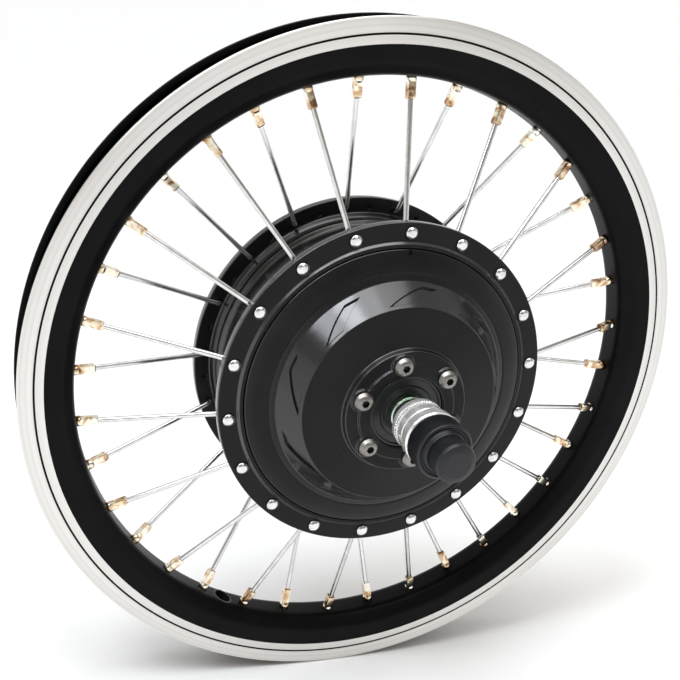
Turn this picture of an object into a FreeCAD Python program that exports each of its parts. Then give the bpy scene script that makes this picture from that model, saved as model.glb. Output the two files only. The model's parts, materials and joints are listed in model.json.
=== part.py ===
# Geared hub motor wheel: a 16-inch double-wall rim, laced radially to a planetary hub motor.
#
# Frame: the origin is the wheel's centre, +Z is up and the wheel turns about Y. The brake-disc
# side faces -Y ("near") and the freewheel side faces +Y ("far"). Angles run from +X towards +Z.
# Sizes are millimetres. A turned profile is a list of (radius, y) or (radius, y, corner radius).
import FreeCAD, Part
import math
import os

# Rim
RIM_R = 157.9
RIM_HALF_WIDTH = 11.7
BRAKE_TRACK_R = 147.0
WEAR_GROOVE_R = 151.0
WEAR_GROOVE_WIDTH = 0.9
WEAR_GROOVE_DEPTH = 0.35
SPOKE_BED_R = 134.0
SPOKE_BED_THICKNESS = 2.4
TYRE_BED_R = 149.5
TYRE_BED_THICKNESS = 1.5
BEAD_SEAT_R = 152.5
RIM_WALL = 1.6
ACCESS_HOLE_R = 4.1
VALVE_ANGLE = 244.7
VALVE_BORE_R = 4.25
VALVE_SLEEVE_R = 5.0
VALVE_SLEEVE_PROUD = 0.6

# Spokes and nipples
SPOKES_PER_SIDE = 18
NEAR_SPOKE_ANGLE = 9.7
FAR_SPOKE_ANGLE = 19.7
SPOKE_R = 1.175
SPOKE_HEAD_R = 2.7
SPOKE_HEAD_HEIGHT = 1.6
ELBOW_R = 3.0
SPOKE_HOLE_R = 1.3
SPOKE_HOLE_CIRCLE_R = 72.15
COUNTERSINK_R = 3.1
COUNTERSINK_DEPTH = 1.0
NIPPLE_HEAD_R = 3.0
NIPPLE_HEAD_HEIGHT = 2.6
NIPPLE_NECK_R = 2.0
NIPPLE_NECK_LENGTH = 4.8
NIPPLE_LENGTH = 12.2
NIPPLE_FLATS = 3.5
NIPPLE_BORE_R = 1.225
NIPPLE_CLEARANCE = 0.15

# Hub shell and its two covers
FLANGE_R = 76.75
FLANGE_FACE = 25.2
FLANGE_THICKNESS = 4.3
FLANGE_INNER = FLANGE_FACE - FLANGE_THICKNESS
DRUM_R = 66.0
DRUM_BORE_R = 62.0
RIDGE_R = 68.2
SHELL_LIP = 26.5
REGISTER_R = 65.8
REGISTER_FLOOR = 21.4
SCREW_RING_R = 58.5
SCREW_RING_START = 14.0
DIMPLE_CIRCLE_R = 70.2
DIMPLE_R = 1.4
DIMPLE_DEPTH = 1.2
COVER_R = 65.5
COVER_EDGE = 26.7
HUMP_FOOT = (53.0, 30.7)
HUMP_TOP = (44.8, 41.7)
HUMP_ROOF = 38.4
HUMP_ROOF_R = 41.0
HUMP_SKIRT = (45.3, 27.5)
GEAR_LEDGE_R = 46.0
GEAR_POCKET_END = 18.0
NEAR_HOUSING_R = 26.5
BEARING_STOP = 1.2
BEARING_STOP_DEPTH = 3.0
BOSS_R = 27.5
BOSS_FOOT = 44.7
BOSS_FACE = 47.6
PAD_FACE = 48.8
PAD_RING_R = 21.9
PAD_R = 5.0
SLASH_COUNT = 9
SLASH_DEPTH = 1.3
SLASH_CORNERS = ((115.6, 32.7), (124.1, 32.9), (145.4, 40.2), (132.6, 40.4))
NOTCH_ANGLE = 90.0
NOTCH_WIDTH = 2.2
NOTCH_REACH = 3.2
NOTCH_DEPTH = 0.3
DISC_BOLT_COUNT = 6
DISC_BOLT_CIRCLE_R = 22.0
DISC_BOLT_ANGLE = 44.0
DISC_BOLT_R = 2.45
DISC_BOLT_HOLE_R = 2.5
DISC_BOLT_LENGTH = 11.0
DISC_BOLT_HEAD_R = 4.25
DISC_BOLT_SKIRT = 0.8
DISC_BOLT_DOME = 2.2
HEX_KEY = 3.0
COVER_SCREW_COUNT = 9
COVER_SCREW_CIRCLE_R = 61.2
COVER_SCREW_R = 1.95
COVER_SCREW_HOLE_R = 2.0
COVER_SCREW_SEAT = 26.0
COVER_SCREW_HEAD_R = 3.3
COVER_SCREW_HEAD = 2.4
COVER_SCREW_KEY = 2.5
FAR_DOME = ((53.0, 30.2, 3.0), (46.0, 34.6, 3.0), (25.0, 37.2, 0.8))
FAR_COVER_BORE_R = 55.5
FAR_COVER_FLOOR = 26.0
FAR_REGISTER_START = 20.0
FAR_HOUSING_WALL = 4.5
FREEWHEEL_SHOULDER_R = 22.5
FREEWHEEL_THREAD_R = 17.4
FREEWHEEL_SHOULDER = 38.5
FREEWHEEL_FACE = 49.5

# Axle and what is stacked on it outside the hub
NEAR_AXLE_R = 6.0
SUN_AXLE_R = 7.0
BEARING_AXLE_R = 7.5
STATOR_AXLE_R = 9.0
FAR_AXLE_R = 7.0
AXLE_FLAT = 5.0
NEAR_AXLE_END = -88.0
FAR_AXLE_END = 94.7
FLATS_START = 58.0
CABLE_BORE_R = 3.6
CABLE_BORE_FLOOR = 15.0
CABLE_EXIT_R = 2.6
CABLE_EXIT_Y = 18.2
GROMMET_BORE_R = 2.6
GROMMET_LENGTH = 8.0
STATOR_SEAT_END = 13.0
KEY_WIDTH = 4.0
KEY_HEIGHT = 4.5
KEY_DEPTH = 2.2
KEY_CLEARANCE = 0.02
COLLAR_R = 8.3
FAR_COLLAR_R = 8.8
COLLAR_END = 57.7
LOCK_WASHER_END = 61.7
DROPOUT_FACE = 67.7
STACK_R = 11.2
SERRATIONS = 24
SERRATION_HEIGHT = 0.6
SERRATION_WIDTH = 1.0
SERRATION_LENGTH = 3.0
NUT_FLANGE_R = 12.0
NUT_FLANGE_END = 74.7
NUT_END = 83.0
NUT_FLATS = 18.0
CAP_R = 12.0
CAP_SHOULDER = 84.2
CAP_NOSE_R = 8.4
CAP_END = 94.7
CAP_GROOVE_R = 10.4
CAP_GROOVE = 0.6

# Planetary gears
MODULE = 1.0
SUN_TEETH = 21
PLANET_TEETH = 36
RING_TEETH = SUN_TEETH + 2 * PLANET_TEETH
PLANET_COUNT = 3
PLANET_CIRCLE_R = MODULE * (SUN_TEETH + PLANET_TEETH) / 2
PLANET_ANGLE = 90.0
PRESSURE_ANGLE = math.radians(20)
BACKLASH = 0.16
DEDENDUM = 1.25
RING_ADDENDUM = 0.8
GEAR_NEAR = -23.5
GEAR_FAR = -14.5
RING_GEAR_NEAR = -24.0
RING_GEAR_FAR = -13.0
RING_GEAR_R = 54.0
RING_SCREW_COUNT = 6
RING_SCREW_CIRCLE_R = 51.0
RING_SCREW_R = 1.45
RING_SCREW_HEAD_R = 2.75
RING_SCREW_HEAD = 3.0
RING_SCREW_POCKET = 3.2
RING_SCREW_END = -27.5
RING_SCREW_KEY = 2.5
CARRIER_R = 36.0
CARRIER_NEAR = -31.0
CARRIER_FAR = -26.2
CARRIER_WINDOW_R = 7.0
CARRIER_WINDOW_CIRCLE_R = 25.5
CLUTCH_R = 14.0
ROLLER_COUNT = 12
ROLLER_R = 1.15
PIN_R = 4.0
PIN_END = -14.0
PIN_COLLAR = 1.4
CIRCLIP_DEPTH = 0.5
CIRCLIP_WIDTH = 0.8
CIRCLIP_PROUD = 1.6
CIRCLIP_MOUTH = 3.0
SUN_OVERHANG = 2.0
SUN_BUSH_LENGTH = 8.0

# Motor
ROTOR_R = 57.5
ROTOR_BORE_R = 54.6
ROTOR_NEAR = -11.5
ROTOR_PLATE = 2.5
ROTOR_FAR = 17.0
SUN_FLANGE_R = 20.0
SUN_FLANGE_NEAR = -13.4
SUN_BUSH_R = 8.0
MAGNET_COUNT = 20
MAGNET_INNER_R = 52.1
MAGNET_SHARE = 0.88
MAGNET_START = -7.0
MAGNET_END = 14.0
STATOR_R = 51.3
STATOR_NEAR = -4.0
STATOR_FAR = 10.0
STATOR_TEETH = 18
YOKE_R = 33.0
YOKE_THICKNESS = 5.0
TOOTH_WIDTH = 6.4
TOOTH_TIP = 2.2
SLOT_OPENING = 2.4
STATOR_WINDOWS = 6
STATOR_WINDOW_R = 5.5
STATOR_WINDOW_CIRCLE_R = 22.0
COIL_BUILD = 2.6
COIL_GAP = 0.2
COIL_CORNER = 2.0
BOARD_NEAR = 14.2
BOARD_THICKNESS = 1.6
BOARD_INNER_R = 36.0
BOARD_OUTER_R = 47.5
BOARD_HALF_ANGLE = math.radians(37)

# Bearings, each as (bore radius, outside radius, low y, high y, ball count)
NEAR_BEARING = (NEAR_AXLE_R, 16.0, -43.5, -33.5, 8)
FAR_BEARING = (BEARING_AXLE_R, 17.5, 22.0, 33.0, 9)
ROTOR_BEARING = (BEARING_AXLE_R, 14.0, -11.4, -5.4, 10)
PLANET_BEARING = (PIN_R, 11.0, -22.5, -15.5, 7)
RACE_SHARE = 0.27
BALL_SHARE = 0.27
GROOVE_CLEARANCE = 0.05

# Seals, each as (outside radius, inside y, outside y)
NEAR_SEAL = (16.5, -44.2, -48.2)
FAR_SEAL = (13.0, 44.5, 49.0)

# Small allowances
PRESS = 0.01
SLIDE = 0.02
GAP = 0.05
SEAL_GAP = 0.04

ORIGIN = FreeCAD.Vector(0, 0, 0)
AXIS = FreeCAD.Vector(0, 1, 0)


def vector(x, y, z):
    return FreeCAD.Vector(x, y, z)


def place(shape, angle):
    """A copy turned about the wheel's axis by an angle from +X towards +Z."""
    copy = shape.copy()
    copy.rotate(ORIGIN, AXIS, -angle)
    return copy


def around(shape, count, start=0.0):
    return [place(shape, start + 360.0 * step / count) for step in range(count)]


def mirrored(shape):
    """The same shape on the other side of the wheel's middle plane."""
    return shape.mirror(ORIGIN, AXIS)


def corner_arc(before, corner, after, radius):
    """The two tangent points and the middle point of a rounded corner."""
    inward = (before - corner).normalize()
    outward = (after - corner).normalize()
    half = inward.getAngle(outward) / 2
    setback = radius / math.tan(half)
    bisector = (inward + outward).normalize()
    centre = corner + bisector * (radius / math.sin(half))
    return corner + inward * setback, centre - bisector * radius, corner + outward * setback


def outline(points):
    """A closed wire through (radius, y) points, rounding each point that names a radius."""
    corners = [vector(point[0], point[1], 0) for point in points]
    stops = []
    for index, point in enumerate(points):
        corner = corners[index]
        if len(point) == 2:
            stops.append((corner, None, corner))
            continue
        before = corners[index - 1]
        after = corners[(index + 1) % len(points)]
        stops.append(corner_arc(before, corner, after, point[2]))
    edges = []
    for index, (start, middle, end) in enumerate(stops):
        if middle is not None:
            edges.append(Part.Arc(start, middle, end).toShape())
        following = stops[(index + 1) % len(stops)][0]
        if (following - end).Length > 1e-6:
            edges.append(Part.makeLine(end, following))
    return Part.Wire(edges)


def turned(points):
    solid = Part.Face(outline(points)).revolve(ORIGIN, AXIS, 360)
    if solid.Volume < 0:
        solid.reverse()
    return solid


def rod(radius, low, high, distance=0.0, angle=0.0):
    """A cylinder along Y, its axis at a distance and angle from the wheel's axis."""
    x = distance * math.cos(math.radians(angle))
    z = distance * math.sin(math.radians(angle))
    return Part.makeCylinder(radius, high - low, vector(x, low, z), AXIS)


def tube(inner, outer, low, high, distance=0.0, angle=0.0):
    return rod(outer, low, high, distance, angle).cut(rod(inner, low - 1, high + 1, distance, angle))


def hexagon(flats, low, high, distance=0.0, angle=0.0):
    """A hexagonal prism along Y."""
    corner = flats / math.sqrt(3)
    x = distance * math.cos(math.radians(angle))
    z = distance * math.sin(math.radians(angle))
    steps = [math.radians(60 * step) for step in range(7)]
    points = [vector(x + corner * math.cos(t), low, z + corner * math.sin(t)) for t in steps]
    return Part.Face(Part.makePolygon(points)).extrude(vector(0, high - low, 0))


def prism(points, low, high):
    """A closed (x, z) polygon carried along Y."""
    corners = [vector(x, low, z) for x, z in points]
    face = Part.Face(Part.makePolygon(corners + corners[:1]))
    return face.extrude(vector(0, high - low, 0))


def export(name, solids):
    solids = solids if isinstance(solids, list) else [solids]
    bodies = [body for solid in solids for body in solid.Solids]
    shape = bodies[0] if len(bodies) == 1 else Part.makeCompound(bodies)
    shape.exportStep(os.path.join("parts", name + ".step"))


# ---- spokes ---------------------------------------------------------------------------------

def spoke_tilt():
    """How far a spoke leans from the radial line on its way to the rim's middle plane."""
    reach = SPOKE_BED_R + SPOKE_BED_THICKNESS - (SPOKE_HOLE_CIRCLE_R + ELBOW_R)
    chord = math.hypot(reach, FLANGE_INNER)
    return math.atan2(FLANGE_INNER, reach) - math.asin(ELBOW_R / chord)


SPOKE_TILT = spoke_tilt()
SPOKE_DIRECTION = vector(math.cos(SPOKE_TILT), math.sin(SPOKE_TILT), 0)
NIPPLE_SEAT = vector(SPOKE_BED_R + SPOKE_BED_THICKNESS, 0, 0)


def spoke():
    """One near-side spoke at angle 0: head, shank through the flange, elbow and blade."""
    hole = SPOKE_HOLE_CIRCLE_R
    head = turned([
        (0, -FLANGE_FACE - SPOKE_HEAD_HEIGHT),
        (SPOKE_HEAD_R * 0.55, -FLANGE_FACE - SPOKE_HEAD_HEIGHT * 0.92, 1.2),
        (SPOKE_HEAD_R, -FLANGE_FACE - SPOKE_HEAD_HEIGHT * 0.3, 0.5),
        (SPOKE_HEAD_R, -FLANGE_FACE),
        (SPOKE_R, -FLANGE_FACE + COUNTERSINK_DEPTH * 0.7),
        (0, -FLANGE_FACE + COUNTERSINK_DEPTH * 0.7)])
    head.translate(vector(hole, 0, 0))
    shank = Part.makeCylinder(SPOKE_R, FLANGE_THICKNESS, vector(hole, -FLANGE_FACE, 0), AXIS)
    section = Part.Face(Part.Wire(Part.makeCircle(SPOKE_R, vector(hole, -FLANGE_INNER, 0), AXIS)))
    centre = vector(hole + ELBOW_R, -FLANGE_INNER, 0)
    elbow = section.revolve(centre, vector(0, 0, -1), 90 - math.degrees(SPOKE_TILT))
    start = centre + vector(-math.sin(SPOKE_TILT), math.cos(SPOKE_TILT), 0) * ELBOW_R
    blade = Part.makeCylinder(SPOKE_R, (NIPPLE_SEAT - start).Length, start, SPOKE_DIRECTION)
    return head.fuse([shank, elbow, blade]).removeSplitter()


def along_spoke(shape):
    """Moves a shape made about Z, seat at the origin, to a near-side spoke's nipple seat."""
    shape.rotate(ORIGIN, AXIS, 90)
    shape.rotate(ORIGIN, vector(0, 0, 1), math.degrees(SPOKE_TILT))
    shape.translate(NIPPLE_SEAT)
    return shape


def nipple():
    """One near-side nipple at angle 0: round head and neck, then a square shank."""
    head = Part.makeCone(NIPPLE_HEAD_R, NIPPLE_HEAD_R * 0.8, NIPPLE_HEAD_HEIGHT)
    flats_length = NIPPLE_LENGTH - NIPPLE_NECK_LENGTH
    half = NIPPLE_FLATS / 2
    square = Part.makeBox(NIPPLE_FLATS, NIPPLE_FLATS, flats_length, vector(-half, -half, -NIPPLE_LENGTH))
    rounder = Part.makeCylinder(half * 1.25, flats_length, vector(0, 0, -NIPPLE_LENGTH))
    neck = Part.makeCylinder(NIPPLE_NECK_R, NIPPLE_NECK_LENGTH, vector(0, 0, -NIPPLE_NECK_LENGTH))
    body = head.fuse([neck, square.common(rounder)])
    bore_length = NIPPLE_LENGTH + NIPPLE_HEAD_HEIGHT + 2
    bore = Part.makeCylinder(NIPPLE_BORE_R, bore_length, vector(0, 0, -NIPPLE_LENGTH - 1))
    return along_spoke(body.cut(bore))


def nipple_drilling():
    """The hole and spot face that one near-side nipple needs in the spoke bed."""
    depth = NIPPLE_NECK_LENGTH + 2
    hole = Part.makeCylinder(NIPPLE_NECK_R + NIPPLE_CLEARANCE, depth + 0.5, vector(0, 0, -depth))
    spot = Part.makeCylinder(NIPPLE_HEAD_R + 2 * NIPPLE_CLEARANCE, NIPPLE_HEAD_HEIGHT + 0.8)
    return along_spoke(hole.fuse(spot))


# ---- rim ------------------------------------------------------------------------------------

def rim_outside():
    """The rim's section without its inner cavity, one half and its mirror image."""
    groove_low = WEAR_GROOVE_R - WEAR_GROOVE_WIDTH / 2
    groove_high = WEAR_GROOVE_R + WEAR_GROOVE_WIDTH / 2
    groove_y = RIM_HALF_WIDTH - WEAR_GROOVE_DEPTH
    half = [
        (SPOKE_BED_R, 5.6, 5.0),
        (139.6, 10.6, 6.0),
        (BRAKE_TRACK_R - 0.3, RIM_HALF_WIDTH - 0.3),
        (BRAKE_TRACK_R, RIM_HALF_WIDTH),
        (groove_low, RIM_HALF_WIDTH),
        (groove_low, groove_y),
        (groove_high, groove_y),
        (groove_high, RIM_HALF_WIDTH),
        (RIM_R, RIM_HALF_WIDTH, 0.7),
        (RIM_R, RIM_HALF_WIDTH - 2.2, 0.7),
        (RIM_R - 2.6, RIM_HALF_WIDTH - 2.4, 0.5),
        (RIM_R - 3.6, RIM_HALF_WIDTH - RIM_WALL, 0.4),
        (BEAD_SEAT_R, RIM_HALF_WIDTH - RIM_WALL),
        (BEAD_SEAT_R - 0.2, 7.4, 1.0),
        (TYRE_BED_R, 5.2, 1.5)]
    other = [(point[0], -point[1]) + tuple(point[2:]) for point in reversed(half)]
    return turned(half + other)


def rim_cavity():
    floor = SPOKE_BED_R + SPOKE_BED_THICKNESS
    roof = TYRE_BED_R - TYRE_BED_THICKNESS
    half = [
        (floor, 5.0, 3.0),
        (141.0, 9.1, 5.0),
        (BRAKE_TRACK_R, RIM_HALF_WIDTH - RIM_WALL),
        (roof + 2.8, RIM_HALF_WIDTH - RIM_WALL),
        (roof + 2.8, 7.2, 1.0),
        (roof, 4.9, 1.5)]
    other = [(point[0], -point[1]) + tuple(point[2:]) for point in reversed(half)]
    return turned(half + other)


def radial_hole(radius, low, high, angle):
    return place(Part.makeCylinder(radius, high - low, vector(low, 0, 0), vector(1, 0, 0)), angle)


def rim():
    drilling = nipple_drilling()
    tools = [rim_cavity()]
    tools += around(drilling, SPOKES_PER_SIDE, NEAR_SPOKE_ANGLE)
    tools += around(mirrored(drilling), SPOKES_PER_SIDE, FAR_SPOKE_ANGLE)
    for step in range(2 * SPOKES_PER_SIDE):
        angle = NEAR_SPOKE_ANGLE + 180.0 * step / SPOKES_PER_SIDE
        tools.append(radial_hole(ACCESS_HOLE_R, BRAKE_TRACK_R, RIM_R, angle))
    tools.append(radial_hole(VALVE_SLEEVE_R, SPOKE_BED_R - 2, BEAD_SEAT_R + 1.5, VALVE_ANGLE))
    return rim_outside().cut(tools)


def valve_sleeve():
    """Sleeve that lines the valve hole through both walls of the rim."""
    top = TYRE_BED_R + VALVE_SLEEVE_PROUD
    sleeve = radial_hole(VALVE_SLEEVE_R - SLIDE, SPOKE_BED_R, top, VALVE_ANGLE)
    return sleeve.cut(radial_hole(VALVE_BORE_R, SPOKE_BED_R - 1, top + 1, VALVE_ANGLE))


# ---- hub shell and covers -------------------------------------------------------------------

def hub_shell():
    """Drum, two spoke flanges, two registers and the ring that takes the far cover's screws."""
    inner = FLANGE_INNER
    body = turned([
        (DRUM_BORE_R, -REGISTER_FLOOR),
        (REGISTER_R, -REGISTER_FLOOR),
        (REGISTER_R, 1.2 - SHELL_LIP),
        (REGISTER_R + 0.4, -SHELL_LIP),
        (REGISTER_R + 1.5, -SHELL_LIP, 0.5),
        (REGISTER_R + 3.0, -FLANGE_FACE, 1.0),
        (FLANGE_R, -FLANGE_FACE, 0.5),
        (FLANGE_R, -inner, 0.5),
        (RIDGE_R + 1.4, -inner, 1.2),
        (RIDGE_R, 3.0 - inner, 1.0),
        (DRUM_R + 0.3, 3.9 - inner),
        (RIDGE_R - 0.3, 4.8 - inner, 0.6),
        (RIDGE_R - 0.3, 7.6 - inner, 0.8),
        (DRUM_R, 8.8 - inner, 1.0),
        (DRUM_R, inner - 8.8, 1.0),
        (RIDGE_R - 0.3, inner - 7.6, 0.8),
        (RIDGE_R - 0.3, inner - 4.8, 0.6),
        (DRUM_R + 0.3, inner - 3.9),
        (RIDGE_R, inner - 3.0, 1.0),
        (RIDGE_R + 1.4, inner, 1.2),
        (FLANGE_R, inner, 0.5),
        (FLANGE_R, FLANGE_FACE, 0.5),
        (REGISTER_R + 3.0, FLANGE_FACE, 1.0),
        (REGISTER_R + 1.5, SHELL_LIP, 0.5),
        (REGISTER_R + 0.4, SHELL_LIP),
        (REGISTER_R, SHELL_LIP - 1.2),
        (REGISTER_R, REGISTER_FLOOR),
        (SCREW_RING_R, REGISTER_FLOOR),
        (SCREW_RING_R, SCREW_RING_START),
        (DRUM_BORE_R, SCREW_RING_START)])
    sink = Part.makeCone(COUNTERSINK_R + 0.2, SPOKE_HOLE_R, COUNTERSINK_DEPTH + 0.4,
                         vector(SPOKE_HOLE_CIRCLE_R, -FLANGE_FACE - 0.1, 0), AXIS)
    drilling = rod(SPOKE_HOLE_R, -FLANGE_FACE - 1, -inner + 0.3, SPOKE_HOLE_CIRCLE_R).fuse(sink)
    dimple = rod(DIMPLE_R, -inner - DIMPLE_DEPTH, -inner + 0.3, DIMPLE_CIRCLE_R)
    tools = around(drilling, SPOKES_PER_SIDE, NEAR_SPOKE_ANGLE)
    tools += around(mirrored(drilling), SPOKES_PER_SIDE, FAR_SPOKE_ANGLE)
    tools += around(dimple, SPOKES_PER_SIDE, FAR_SPOKE_ANGLE)
    tools += around(mirrored(dimple), SPOKES_PER_SIDE, NEAR_SPOKE_ANGLE)
    screw_hole = rod(COVER_SCREW_HOLE_R, SCREW_RING_START - 1, REGISTER_FLOOR + 1, COVER_SCREW_CIRCLE_R)
    tools += around(screw_hole, COVER_SCREW_COUNT)
    return body.cut(tools)


def cone_layer(depth, proud):
    """The skin of the near cover's hump, from a depth below it to a height above it."""
    run = HUMP_FOOT[0] - HUMP_TOP[0]
    rise = HUMP_TOP[1] - HUMP_FOOT[1]
    length = math.hypot(run, rise)
    out_r = rise / length
    out_y = run / length

    def skin(point, offset):
        return (point[0] + offset * out_r, -(point[1] + offset * out_y))
    low = (HUMP_FOOT[0] + run, HUMP_FOOT[1] - rise)
    high = (HUMP_TOP[0] - run, HUMP_TOP[1] + rise)
    return turned([skin(low, -depth), skin(high, -depth), skin(high, proud), skin(low, proud)])


def slash_prism():
    """A slanted four-cornered prism that stands square to the hump's wall, at its own angle."""
    middle = sum(angle for angle, _ in SLASH_CORNERS) / len(SLASH_CORNERS)
    run = HUMP_FOOT[0] - HUMP_TOP[0]
    rise = HUMP_TOP[1] - HUMP_FOOT[1]
    length = math.hypot(run, rise)
    mean_r = (HUMP_FOOT[0] + HUMP_TOP[0]) / 2
    mean_y = (HUMP_FOOT[1] + HUMP_TOP[1]) / 2
    outward = vector(rise / length, -run / length, 0)
    uphill = vector(-run / length, -rise / length, 0)
    corners = []
    for angle, height in SLASH_CORNERS:
        share = (height - HUMP_FOOT[1]) / rise
        radius = HUMP_FOOT[0] - share * run
        side = radius * math.sin(math.radians(angle - middle))
        climb = (height - mean_y) * length / rise
        corners.append(vector(mean_r, -mean_y, side) + uphill * climb - outward * 8)
    face = Part.Face(Part.makePolygon(corners + corners[:1]))
    return place(face.extrude(outward * 16), middle)


def near_cover():
    """Screwed-in cover with a conical hump, a raised brake-disc seat and the near bearing's seat."""
    _, seat, bearing_low, bearing_high, _ = NEAR_BEARING
    seal_r = NEAR_SEAL[0]
    body = turned([
        (DRUM_BORE_R - GAP, -GEAR_POCKET_END),
        (DRUM_BORE_R - GAP, -REGISTER_FLOOR - GAP),
        (COVER_R, -REGISTER_FLOOR - GAP),
        (COVER_R, -COVER_EDGE, 0.6),
        (HUMP_FOOT[0], -HUMP_FOOT[1], 2.0),
        (HUMP_TOP[0], -HUMP_TOP[1], 1.2),
        (BOSS_R + 0.6, -BOSS_FOOT, 0.5),
        (BOSS_R, -BOSS_FACE, 0.5),
        (PAD_RING_R, -BOSS_FACE),
        (PAD_RING_R, -PAD_FACE, 0.4),
        (seal_r + 0.4, -PAD_FACE),
        (seal_r, -PAD_FACE + 0.4),
        (seal_r, bearing_low - 0.1),
        (seat, bearing_low - 0.1),
        (seat, bearing_high),
        (seat - BEARING_STOP_DEPTH, bearing_high),
        (seat - BEARING_STOP_DEPTH, bearing_high + BEARING_STOP),
        (NEAR_HOUSING_R, bearing_high + BEARING_STOP, 2.0),
        (NEAR_HOUSING_R, -HUMP_ROOF, 1.5),
        (HUMP_ROOF_R, -HUMP_ROOF, 2.0),
        (HUMP_SKIRT[0], -HUMP_SKIRT[1], 2.0),
        (GEAR_LEDGE_R, RING_GEAR_NEAR),
        (RING_GEAR_R, RING_GEAR_NEAR),
        (RING_GEAR_R + GAP, RING_GEAR_NEAR),
        (RING_GEAR_R + GAP, -GEAR_POCKET_END)])
    pads = [rod(PAD_R, -PAD_FACE, -BOSS_FACE + 1, DISC_BOLT_CIRCLE_R, DISC_BOLT_ANGLE + 60 * step)
            for step in range(DISC_BOLT_COUNT)]
    body = body.fuse(pads).removeSplitter()
    bolt_hole = rod(DISC_BOLT_HOLE_R, -PAD_FACE - 1, -PAD_FACE + DISC_BOLT_LENGTH + 1, DISC_BOLT_CIRCLE_R)
    tools = around(bolt_hole, DISC_BOLT_COUNT, DISC_BOLT_ANGLE)
    tools += around(slash_prism().common(cone_layer(SLASH_DEPTH, 3.0)), SLASH_COUNT)
    corner = vector(COVER_R - NOTCH_REACH, -COVER_EDGE - 1, -NOTCH_WIDTH / 2)
    notch = Part.makeBox(NOTCH_REACH, 1 + NOTCH_DEPTH, NOTCH_WIDTH, corner)
    tools.append(place(notch, NOTCH_ANGLE))
    ring_screw = rod(RING_SCREW_R + GAP, RING_SCREW_END - 0.5, RING_GEAR_NEAR + 1, RING_SCREW_CIRCLE_R)
    tools += around(ring_screw, RING_SCREW_COUNT)
    return body.cut(tools)


def far_cover():
    """Cover with nine screws, the far bearing's seat and the freewheel's threaded boss."""
    _, seat, bearing_low, bearing_high, _ = FAR_BEARING
    body = turned([
        (SCREW_RING_R - 4 * GAP, FAR_REGISTER_START),
        (SCREW_RING_R - 4 * GAP, REGISTER_FLOOR + GAP),
        (COVER_R, REGISTER_FLOOR + GAP),
        (COVER_R, COVER_EDGE, 0.6),
        *FAR_DOME,
        (FREEWHEEL_SHOULDER_R, FREEWHEEL_SHOULDER, 0.5),
        (FREEWHEEL_THREAD_R, FREEWHEEL_SHOULDER),
        (FREEWHEEL_THREAD_R, FREEWHEEL_FACE, 0.8),
        (FAR_SEAL[0], FREEWHEEL_FACE, 0.4),
        (FAR_SEAL[0], bearing_high),
        (seat, bearing_high),
        (seat, bearing_low),
        (seat + FAR_HOUSING_WALL, bearing_low, 0.6),
        (seat + FAR_HOUSING_WALL, FAR_COVER_FLOOR, 1.5),
        (FAR_COVER_BORE_R, FAR_COVER_FLOOR, 1.5),
        (FAR_COVER_BORE_R, FAR_REGISTER_START)])
    through = rod(COVER_SCREW_HOLE_R, REGISTER_FLOOR - 1, FREEWHEEL_SHOULDER, COVER_SCREW_CIRCLE_R)
    pocket = rod(COVER_SCREW_HEAD_R + 0.3, COVER_SCREW_SEAT, FREEWHEEL_SHOULDER, COVER_SCREW_CIRCLE_R)
    return body.cut(around(through.fuse(pocket), COVER_SCREW_COUNT))


def disc_bolt():
    """A button-head bolt at angle 0, its head on the near side."""
    skirt_end = -PAD_FACE - DISC_BOLT_SKIRT
    top = skirt_end - DISC_BOLT_DOME
    head = turned([
        (0, -PAD_FACE),
        (DISC_BOLT_HEAD_R, -PAD_FACE),
        (DISC_BOLT_HEAD_R, skirt_end, 0.3),
        (DISC_BOLT_HEAD_R * 0.8, skirt_end - DISC_BOLT_DOME * 0.65, 1.5),
        (HEX_KEY * 0.65, top, 1.0),
        (0, top)])
    shank = rod(DISC_BOLT_R, -PAD_FACE, -PAD_FACE + DISC_BOLT_LENGTH)
    bolt = head.fuse(shank).cut(hexagon(HEX_KEY, top - 1, top + 2.0))
    bolt.translate(vector(DISC_BOLT_CIRCLE_R, 0, 0))
    return bolt


def cover_screw():
    """A pan-head screw at angle 0, its head on the far side."""
    top = COVER_SCREW_SEAT + COVER_SCREW_HEAD
    head = turned([
        (0, COVER_SCREW_SEAT),
        (COVER_SCREW_HEAD_R, COVER_SCREW_SEAT),
        (COVER_SCREW_HEAD_R, top - COVER_SCREW_HEAD / 3, 0.4),
        (COVER_SCREW_HEAD_R * 0.7, top, 0.6),
        (0, top)])
    shank = rod(COVER_SCREW_R, SCREW_RING_START + 0.8, COVER_SCREW_SEAT)
    screw = head.fuse(shank).cut(hexagon(COVER_SCREW_KEY, top - 1.5, top + 1))
    screw.translate(vector(COVER_SCREW_CIRCLE_R, 0, 0))
    return screw


# ---- bearings and seals ---------------------------------------------------------------------

def bearing(size):
    """Inner race, outer race and balls of a deep-groove bearing."""
    bore, outside, low, high, count = size
    width = high - low
    section = outside - bore
    pitch = (bore + outside) / 2
    ball_r = min(section * BALL_SHARE, width * 0.32)
    middle = (low + high) / 2
    inner = tube(bore + PRESS, bore + section * RACE_SHARE, low, high)
    outer = tube(outside - section * RACE_SHARE, outside - PRESS, low, high)
    groove = Part.makeTorus(pitch, ball_r + GROOVE_CLEARANCE, vector(0, middle, 0), AXIS)
    ball = Part.makeSphere(ball_r, vector(pitch, middle, 0))
    return inner.cut(groove), outer.cut(groove), around(ball, count)


def oil_seal(inner, outer, inside, outside):
    """Lip seal: a flat ring with a shallow dish in the face that shows, at the outside end."""
    depth = math.copysign(0.8, outside - inside)
    lip = (inner + outer) / 2
    return turned([
        (inner, inside),
        (outer - SLIDE, inside),
        (outer - SLIDE, outside),
        (lip + 1.6, outside),
        (lip + 1.0, outside - depth),
        (lip - 0.6, outside - depth),
        (lip - 1.2, outside - depth / 4),
        (inner, outside - depth / 4)])


# ---- axle and its stack ---------------------------------------------------------------------

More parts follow.
